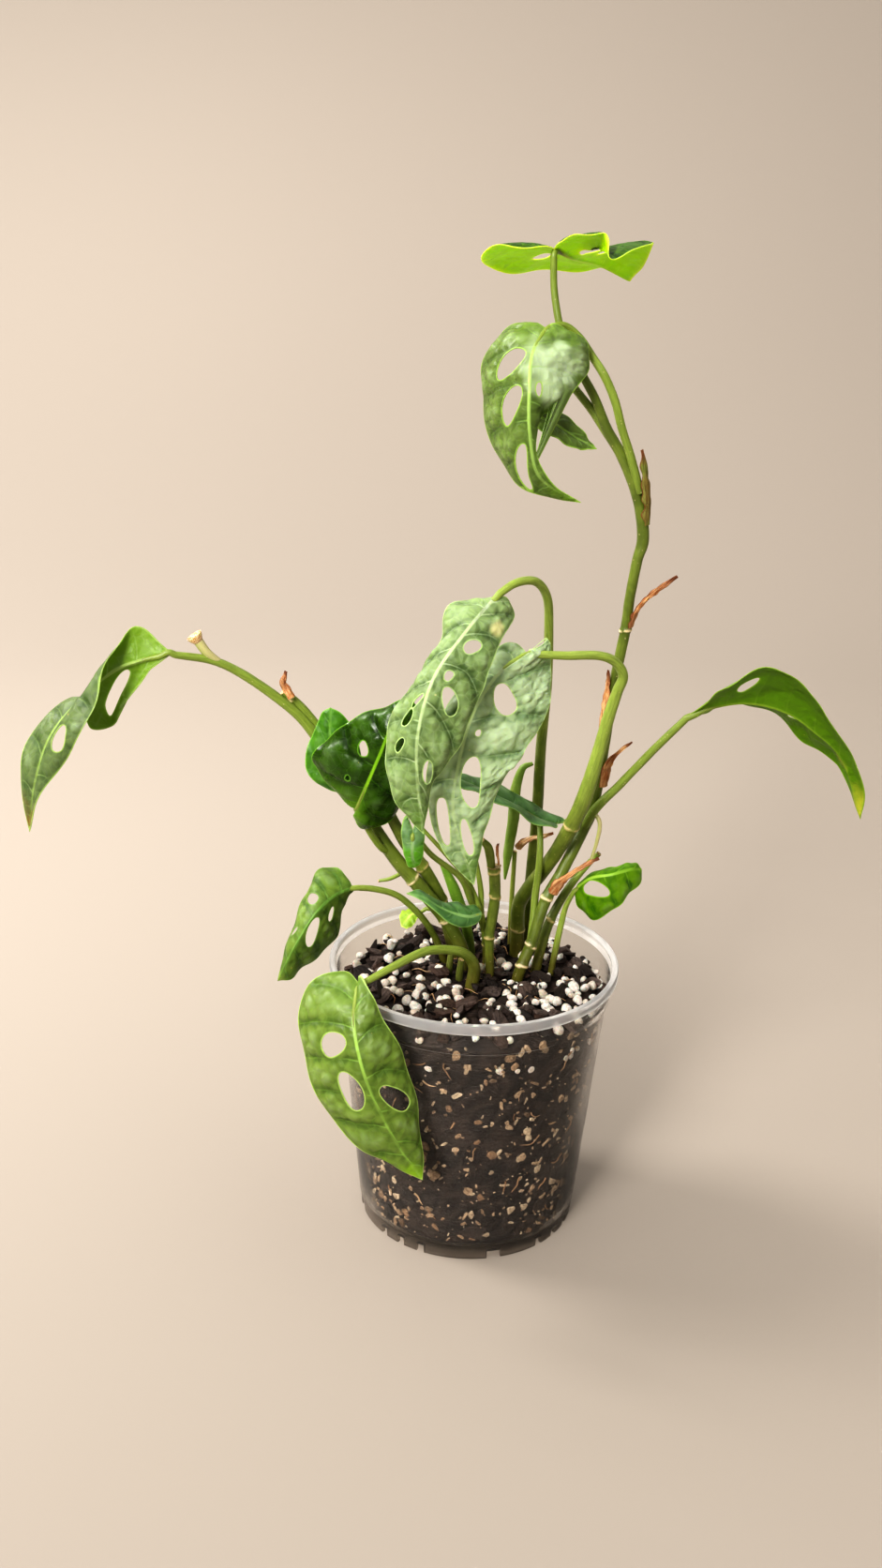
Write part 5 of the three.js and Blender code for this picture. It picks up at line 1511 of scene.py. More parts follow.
@dataclass
class PottingMix:
    """Bark, perlite and fibre that fill the pot, and what shows of them through the wall."""

    feet: Sequence[Point]
    chips: int = 300
    grains: int = 180
    roots: int = 120
    threads: int = 60
    seed: int = 5
    segments: int = 200
    clumps: Sequence[Flat] = (
        (28, -38), (-14, -46), (-24, -38), (44, -20), (52, 4), (38, 24), (30, -30), (-46, -14), (10, 44)
    )
    wall_bark: WallLayer = WallLayer(150, (3.0, 7.5), 0.3, cuts=6, level=3, gap=0.3, tones=(0.05, 0.5))
    wall_flecks: WallLayer = WallLayer(1400, (0.35, 2.7), 0.35, cuts=3, slim=0.25)
    wall_beads: WallLayer = WallLayer(46, (1.1, 2.3), 0.8, cuts=0, slim=0.7, heights=(106.0, 121.5))
    bark: CrumbFinish = CrumbFinish(
        tones=((38, 29, 24), (66, 54, 48), (30, 24, 20), (102, 87, 80), (70, 51, 41)),
        dirt=(20, 15, 13), roughness=0.5, stretch=5.0, relief=0.0012,
    )
    perlite: CrumbFinish = CrumbFinish(
        tones=((202, 190, 174), (228, 224, 216), (214, 206, 194), (234, 232, 226)),
        dirt=(156, 138, 116), roughness=0.8, dirt_share=0.4, subsurface=0.25,
    )
    fleck: CrumbFinish = CrumbFinish(
        tones=((126, 102, 80), (192, 168, 138), (142, 114, 88), (212, 194, 166), (98, 78, 60)),
        dirt=(84, 62, 46),
    )
    root: CrumbFinish = CrumbFinish(
        tones=((150, 112, 78), (200, 170, 134), (128, 88, 56)),
        dirt=(96, 66, 42), roughness=0.6, stretch=6.0,
    )

    def top_at(self, away: Array) -> Array:
        """Height of the mix at distances from the pot's axis."""
        return MIX_TOP + MIX_DOME * (1 - away / MIX_RADIUS) - 5.0 * fade(away, 55.0, 64.5)

    def body(self) -> Surface:
        """The dark body of the mix.

        Returns:
            Its surface.
        """
        low, over_channel = WALL + 0.35, CHANNEL_HEIGHT + WALL + 0.35
        heights = np.linspace(CHANNEL_HEIGHT + 3.4, MIX_TOP - 6.0, 76)
        aways = np.linspace(LID_RADIUS, 0.4, 44)
        foot = [(0.4, low), (FLOOR_RADIUS - 1.2, low), (FLOOR_RADIUS + 2, over_channel)]
        foot.append((FOOT_RADIUS - 2.3, over_channel))
        side = np.stack([wall_radius(heights) - 0.45, heights], -1)
        lid = np.stack([aways, self.top_at(aways) - 1.2], -1)
        points = lathe([*foot, *side, *lid], self.segments)
        kind = np.repeat([0, 1, -1], np.array([len(foot), len(side), len(lid)]) * self.segments)
        bumps = 0.6 * ripples(points, 41, 9.0) + 0.4 * ripples(points, 42, 3.6)
        inward = np.where(kind > 0, np.clip(0.4 - bumps, 0, 1.6), 0)
        points[:, :2] *= (1 - inward / np.maximum(np.hypot(points[:, 0], points[:, 1]), 1))[:, None]
        points[:, 2] += np.where(kind < 0, 0.9 * bumps, 0)
        last = len(points) - self.segments
        faces = ring_faces(len(points) // self.segments, self.segments)
        faces += [tuple(range(self.segments - 1, -1, -1)), tuple(range(last, len(points)))]
        # Held to the darker bark tones: partly the mix's own dark colour, partly painted shade in the gaps
        # between the chips.
        tone = np.clip(0.3 + 0.3 * ripples(points, 44, 12.0), 0, 0.55)
        return Surface(points, faces, {"grain": points[:, [1, 2, 0]], "tone": tone})

    def clear_of_feet(self, x: float, y: float, gap: float) -> bool:
        """Whether a place on the mix is clear of every stem's foot."""
        return all(math.hypot(x - foot[0], y - foot[1]) > foot[2] + gap for foot in self.feet)

    def spot(self, draw: Draw, radius: float) -> tuple[float, float]:
        """A random place within a radius of the pot's axis."""
        away, angle = radius * math.sqrt(draw.uniform()), draw.uniform(0, WHOLE_TURN)
        return away * math.cos(angle), away * math.sin(angle)

    def bark_chips(self) -> Surface:
        """Chips of bark lying on the mix.

        Returns:
            All of them.
        """
        lumps = Lumps(3, self.seed)
        draw = lumps.draw
        while len(lumps.points) < self.chips:
            x, y = self.spot(draw, MIX_RADIUS + 0.5)
            long = draw.uniform(2.8, 7.6)
            half = long * np.array([1.0, draw.uniform(0.35, 0.75), draw.uniform(0.2, 0.45)])
            if self.clear_of_feet(x, y, 0.3 * long):
                z = float(self.top_at(math.hypot(x, y))) + draw.uniform(-1.2, 2.4)
                lumps.add((x, y, z), half, lumps.tipped(0.55), cuts=7, uneven=0.1)
        return pressed(lumps.surface())

    def perlite_grains(self) -> Surface:
        """White perlite, in clumps and alone, more of it on the right and in front.

        Returns:
            All of it.
        """
        lumps = Lumps(3, self.seed + 1)
        draw = lumps.draw
        while len(lumps.points) < self.grains:
            if draw.uniform() < 0.3:
                x, y = self.clumps[int(draw.integers(len(self.clumps)))] + draw.normal(size=2) * 8.0
            else:
                x, y = self.spot(draw, MIX_RADIUS)
            away = math.hypot(x, y)
            half = draw.uniform(1.3, 2.5) * np.array([draw.uniform(1, 1.45), 1, draw.uniform(0.75, 0.95)])
            if away <= LID_RADIUS and self.clear_of_feet(x, y, half[0]):
                z = float(self.top_at(away)) + draw.uniform(0.4, 3.0)
                lumps.add((x, y, z), half, lumps.tipped(1.5), cuts=0, uneven=0.16)
        return pressed(lumps.surface())

    def strand(
        self, draw: Draw, points: Sequence[Point], rings: int, shares: Point, radii: Point, sides: int
    ) -> Surface:
        """A thin root or fibre with a random tone.

        Args:
            draw: Where its tone is drawn.
            points: The points that it goes through.
            rings: How many rings it has, or 0 for one each 0.9 mm.
            shares: Three shares of its length.
            radii: Its radii there.
            sides: How many sides it has.

        Returns:
            The tube.
        """
        path = Curve(points)
        reaches = np.linspace(0, path.length, rings or max(8, int(path.length / 0.9)))
        widths = np.interp(reaches, np.array(shares) * path.length, radii)
        tube = tube_surface(path, reaches, widths, sides, closed=True)
        tube.fields["tone"] = np.full(len(tube.points), draw.uniform())
        return tube

    def root_surfaces(self) -> list[Surface]:
        """Thin pale roots that wander over the inside of the wall.

        Returns:
            A tube for each root.
        """
        draw = np.random.default_rng(self.seed + 4)
        found = []
        for _ in range(self.roots):
            angle, z = draw.uniform(0, WHOLE_TURN), draw.uniform(22, 112)
            heading, curl = draw.uniform(-2.4, -0.7), draw.uniform(-0.35, 0.35)
            points = []
            for _ in range(int(draw.integers(3, 7))):
                away = float(wall_radius(z)) - 0.3
                points.append((away * math.cos(angle), away * math.sin(angle), z))
                heading += curl + draw.uniform(-0.7, 0.7)
                angle += 2.4 * math.cos(heading) / away
                z = min(max(z + 2.4 * math.sin(heading), 12.0), 116.0)
            thick = draw.uniform(0.22, 0.5)
            found.append(self.strand(draw, points, 0, (0, 0.7, 1), (thick, thick * 0.8, 0.12), 7))
        return found

    def fibres(self) -> list[Surface]:
        """Thin fibres and splinters among the chips.

        Returns:
            A tube for each fibre.
        """
        draw = np.random.default_rng(self.seed + 6)
        found = []
        while len(found) < self.threads:
            x, y = self.spot(draw, 56.0)
            if not self.clear_of_feet(x, y, 2.0):
                continue
            start = np.array([x, y, float(self.top_at(math.hypot(x, y))) + 1.0])
            heading, points = draw.uniform(0, WHOLE_TURN), []
            for k in range(5):
                points.append(start + [0, 0, draw.uniform(0.2, 2.2) * math.sin(k / 4 * math.pi)])
                heading += draw.uniform(-0.5, 0.5)
                way = np.array([math.cos(heading), math.sin(heading), 0])
                start = start + way * draw.uniform(1.6, 3.2)
            radii = (0.12, draw.uniform(0.16, 0.42), 0.08)
            found.append(pressed(self.strand(draw, points, 14, (0, 0.5, 1), radii, 6)))
        return found

    def build(self, effects: Effects) -> None:
        """Builds and dresses the whole mix.

        Args:
            effects: The shared effects.
        """
        bark = self.bark.material("bark", effects)
        perlite = self.perlite.material("perlite", effects)
        fleck = self.fleck.material("fleck", effects)
        root = self.root.material("root", effects)
        pieces = {
            "mix_body": ([self.body(), self.wall_bark.surface(self.seed + 2)], bark),
            "bark_chips": ([self.bark_chips()], bark),
            "perlite_grains": ([self.perlite_grains()], perlite),
            "wall_flecks": ([self.wall_flecks.surface(self.seed + 3)], fleck),
            "wall_perlite": ([self.wall_beads.surface(self.seed + 7)], perlite),
            "thin_roots": (self.root_surfaces() + self.fibres(), root),
        }
        for name, (surfaces, material) in pieces.items():
            seat_piece(make_piece(name, surfaces, [material], 32.0), "potting_mix")


class PotZone(Enum):
    """The zones of the pot that differ in clearness."""

    WALL = 0
    LIP = 1
    FOOT = 2


POT_FINISHES: dict[PotZone, PlasticFinish] = {
    PotZone.WALL: PlasticFinish((0.87, 0.86, 0.84), clear=0.985, roughness=0.04),
    PotZone.LIP: PlasticFinish((0.82, 0.81, 0.8), clear=0.68, roughness=0.38),
    # The foot's dark tint is painted shade under and inside the pot's foot.
    PotZone.FOOT: PlasticFinish((0.36, 0.33, 0.3), clear=0.93, roughness=0.1),
}


@dataclass
class Pot:
    """The clear tapered pot with its collar, lip, drain holes and notched foot."""

    segments: int = 216
    drain_holes: int = 8
    drain_ring: float = 45.0
    drain_radius: float = 3.0
    drain_sides: int = 20
    notch_height: float = 4.5
    notch_depth: float = 2.5
    notch_degrees: Sequence[float] = (14.0, 41.0, 53.0, 65.0)
    notch_halves: Sequence[float] = (3.5, 2.0, 2.0, 2.0)
    skirt: float = 2.0

    def profile(self) -> list[Flat]:
        """The section of the pot, from the axis underneath round to the axis inside.

        Returns:
            Radius and height of each corner.
        """
        collar, collar_foot = COLLAR_RADIUS, POT_HEIGHT - COLLAR_HEIGHT
        rim, top, lip_foot = RIM_RADIUS, POT_HEIGHT, POT_HEIGHT - LIP_HEIGHT
        channel, channel_top = FLOOR_RADIUS + 3, CHANNEL_HEIGHT + WALL
        skirt, foot = FOOT_RADIUS - self.skirt, FOOT_RADIUS + FOOT_TAPER
        wall_foot, upper = CHANNEL_HEIGHT + 3, COLLAR_RADIUS + COLLAR_TAPER
        return [
            (0, 0), (FLOOR_RADIUS, 0), (channel, CHANNEL_HEIGHT), (skirt - 0.6, CHANNEL_HEIGHT),
            (skirt, 0.3), (skirt + 0.3, 0), (FOOT_RADIUS - 0.3, 0), (FOOT_RADIUS, 0.3),
            (foot - 0.1, wall_foot - 0.6), (foot + 0.25, wall_foot - 0.2), (foot + 0.3, wall_foot + 0.6),
            (collar - 0.1, collar_foot - 0.8), (collar + 0.3, collar_foot - 0.2),
            (collar + 1.1, collar_foot + 0.4), (collar + 1.3, collar_foot + 1.2),
            (upper - 0.1, lip_foot - 0.6), (upper + 0.6, lip_foot - 0.2), (rim - 0.5, lip_foot),
            (rim - 0.1, lip_foot + 0.4), (rim, top - 0.8), (rim - 0.3, top - 0.15), (rim - 0.9, top),
            (upper + 0.5, top), (upper, top - 0.3), (upper - 0.25, top - 1.0),
            (collar - WALL + 0.3, collar_foot + 0.8), (collar - WALL, collar_foot),
            (foot - WALL, wall_foot), (foot - WALL - 0.8, channel_top), (channel - 0.6, channel_top),
            (FLOOR_RADIUS - 0.6, WALL), (0, WALL),
        ]

    def shell(self) -> Surface:
        """The turned shell of the pot.

        Returns:
            Its surface.
        """
        corners = self.profile()
        ends = [np.array([[0, 0, corners[i][1]]]) for i in (0, -1)]
        points = np.vstack([ends[0], lathe(corners[1:-1], self.segments), ends[1]])
        last = len(points) - 1
        faces = [(tip, ahead, here) for here, ahead, tip in fan(1, self.segments, 0)]
        faces += fan(last - self.segments, self.segments, last)
        faces += ring_faces(len(corners) - 2, self.segments, 1)
        return Surface(points, faces)

    def prism(self, flat: Array, low: float, high: float) -> Surface:
        """A block with a flat outline.

        Args:
            flat: The outline's corners.
            low: The height of its foot.
            high: The height of its top.

        Returns:
            The block.
        """
        count = len(flat)
        points = np.vstack([np.column_stack([flat, np.full(count, height)]) for height in (low, high)])
        caps = [tuple(range(count - 1, -1, -1)), tuple(range(count, 2 * count))]
        return Surface(points, caps + ring_faces(2, count))

    def cutters(self) -> list[Surface]:
        """Pegs and blocks that cut the drain holes and the notches of the foot.

        Returns:
            A block for each cut.
        """
        blocks = []
        for turn in circle(self.drain_holes):
            x, y = self.drain_ring * math.cos(turn), self.drain_ring * math.sin(turn)
            peg = lathe([(self.drain_radius, 0.0)], self.drain_sides)[:, :2] + [x, y]
            blocks.append(self.prism(peg, CHANNEL_HEIGHT - 2, CHANNEL_HEIGHT + 2))
        deep = self.notch_depth
        for quarter in range(4):
            for degrees, half in zip(self.notch_degrees, self.notch_halves):
                turn = math.radians(degrees + 90 * quarter)
                way = np.array([math.cos(turn), math.sin(turn)])
                side = np.array([-way[1], way[0]])
                corners = [(-deep, -half), (deep, -half), (deep, half), (-deep, half)]
                flat = [way * (FOOT_RADIUS - 0.6 + out) + side * across for out, across in corners]
                blocks.append(self.prism(np.array(flat), -3.0, self.notch_height))
        return blocks

    def zone_at(self, height: float) -> PotZone:
        """The zone of a face, from the height of its middle.

        Args:
            height: The height.

        Returns:
            The zone.
        """
        step = POT_HEIGHT - COLLAR_HEIGHT + 0.1
        if abs(height - step) < 0.15 or height > POT_HEIGHT - LIP_HEIGHT - 0.8:
            return PotZone.LIP
        return PotZone.FOOT if height < CHANNEL_HEIGHT + 3.2 else PotZone.WALL

    def build(self) -> None:
        """Builds and dresses the pot."""
        looks = [look.material(f"pot {zone.name.lower()}") for zone, look in POT_FINISHES.items()]
        pot = make_piece("clear_pot", [self.shell()], looks)
        cutter = make_piece("pot_cutter", self.cutters(), [])
        cut = pot.modifiers.new("cut", "BOOLEAN")
        cut.operation = "DIFFERENCE"
        cut.solver = "EXACT"
        cut.object = cutter
        graph = bpy.context.evaluated_depsgraph_get()
        pot.data = bpy.data.meshes.new_from_object(pot.evaluated_get(graph))
        pot.modifiers.clear()
        bpy.data.objects.remove(cutter)
        for face in pot.data.polygons:
            face.material_index = self.zone_at(face.center.z / MM).value
        pot.data.set_sharp_from_angle(angle=math.radians(40))
        seat_piece(pot, "pot")


CENTRE = LeafFinish(
    upper=(128, 150, 94), shade=(74, 98, 48), under=(120, 150, 40), rib=(180, 200, 146),
    vein=(184, 204, 156), margin=(176, 202, 136), tip=(104, 134, 62), patch=(204, 198, 142),
    sheen=(190, 208, 172), sheen_share=0.26, specular=0.5, mottle=0.22, vein_strength=0.6,
    base_glow=0.35, roughness=0.5, net_depth=0.5,
)
# The right centre leaf: the same finish made paler, which paints the brighter light that falls on it.
CENTRE_RIGHT = replace(CENTRE, upper=(172, 190, 152), shade=(112, 136, 92), sheen=(210, 224, 194))
FRONT_LEFT = LeafFinish(
    upper=(114, 136, 56), shade=(76, 102, 26), under=(124, 154, 64), rib=(160, 196, 92),
    vein=(138, 174, 76), margin=(176, 204, 112), tip=(142, 182, 16), tip_from=0.93, mottle=0.3,
    vein_strength=0.6, base_glow=0.2, roughness=0.4, rib_fades=0.62, specular=0.5,
)
LOWER_LEFT = LeafFinish(
    upper=(114, 138, 56), shade=(70, 98, 32), under=(126, 148, 64), rib=(110, 148, 66),
    vein=(106, 144, 72), margin=(122, 150, 80), tip=(150, 168, 82), tip_from=0.94,
)
FAR_LEFT = LeafFinish(
    upper=(98, 114, 70), shade=(64, 84, 42), under=(104, 136, 12), rib=(148, 172, 92),
    vein=(140, 162, 100), margin=(146, 168, 94), tip=(120, 92, 44), tip_from=0.93, base_glow=0.4,
    roughness=0.45,
)
FAR_RIGHT = LeafFinish(
    upper=(142, 166, 108), shade=(72, 108, 12), under=(96, 134, 14), rib=(132, 162, 50),
    vein=(122, 156, 40), margin=(134, 164, 54), tip=(186, 186, 66), patch=(206, 200, 86),
    base_glow=0.3, roughness=0.4, specular=0.25,
)
# The top leaf: its upper face is darkened to paint the shade on its fold, and its bright lime under face
# paints the light that comes through it, beside the real subsurface light.
TOP = LeafFinish(
    upper=(52, 88, 12), shade=(30, 66, 6), under=(164, 214, 4), rib=(190, 222, 96),
    vein=(166, 212, 52), margin=(186, 222, 84), tip=(150, 200, 30), red_depth=1.2, roughness=0.4,
    subsurface=1.0, specular=0.15, sheen_share=0.05,
)
# UPPER: its patch colour paints the pale reflection on the right half of the upper leaf.
UPPER = LeafFinish(
    upper=(100, 120, 56), shade=(74, 94, 38), under=(108, 142, 48), rib=(160, 188, 104),
    vein=(136, 168, 88), margin=(146, 178, 80), tip=(110, 142, 30), patch=(180, 196, 160),
    sheen=(170, 192, 136), sheen_share=0.3, specular=0.35, base_glow=0.3, roughness=0.36,
)
DARK = LeafFinish(
    upper=(54, 88, 3), shade=(24, 48, 2), under=(84, 122, 12), rib=(140, 190, 40),
    vein=(82, 134, 16), margin=(104, 150, 44), tip=(44, 88, 6), mottle=0.7, roughness=0.24,
    net_depth=0.12, vein_strength=0.35, net_strength=0.05, base_glow=0.4, specular=0.3,
    sheen_share=0.08,
)
BEHIND = LeafFinish(
    upper=(82, 132, 24), shade=(46, 94, 12), under=(108, 156, 34), rib=(124, 168, 70),
    vein=(110, 156, 70), margin=(120, 166, 70), tip=(84, 132, 44),
)
SMALL = LeafFinish(
    upper=(102, 140, 84), shade=(62, 100, 50), under=(104, 144, 62), rib=(136, 170, 106),
    vein=(122, 158, 98), margin=(136, 168, 96), tip=(96, 134, 66), roughness=0.38, net_depth=0.2,
)
HANGING = LeafFinish(
    upper=(112, 142, 98), shade=(84, 120, 66), under=(104, 154, 56), rib=(140, 168, 116),
    vein=(134, 164, 108), margin=(140, 172, 96), tip=(98, 156, 40), tip_from=0.55,
)
LOW_RIGHT = LeafFinish(
    upper=(110, 152, 12), shade=(58, 106, 4), under=(132, 172, 40), rib=(158, 196, 74),
    vein=(134, 178, 46), margin=(134, 178, 46), tip=(106, 150, 14), roughness=0.34,
    net_depth=0.15, specular=0.3, sheen_share=0.1,
)
YELLOW = LeafFinish(
    upper=(156, 184, 52), shade=(118, 152, 34), under=(160, 188, 70), rib=(190, 206, 100),
    vein=(176, 198, 84), margin=(186, 204, 96), tip=(136, 148, 40),
)
OLIVE = StemFinish(stem=(96, 88, 42), shade=(66, 56, 26), soiled=(58, 42, 26))
BROWN = StemFinish(stem=(112, 66, 38), shade=(70, 40, 24), soiled=(52, 34, 24))
FRESH = StemFinish(stem=(136, 172, 64), shade=(104, 142, 46), soiled=(112, 116, 52))
PALE = StemFinish(stem=(190, 190, 112), shade=(150, 142, 76), soiled=(120, 94, 54))
TORN = StemFinish(stem=(118, 132, 52), stalk=(136, 154, 66), cut=(190, 132, 88), scar=(240, 218, 178))
OLIVE_SKIN = SheathFinish(papery=(104, 112, 44), edge=(116, 70, 34), pale=(138, 148, 70))
CREAM_SKIN = SheathFinish(papery=(216, 168, 116), edge=(146, 88, 44), pale=(246, 218, 180))

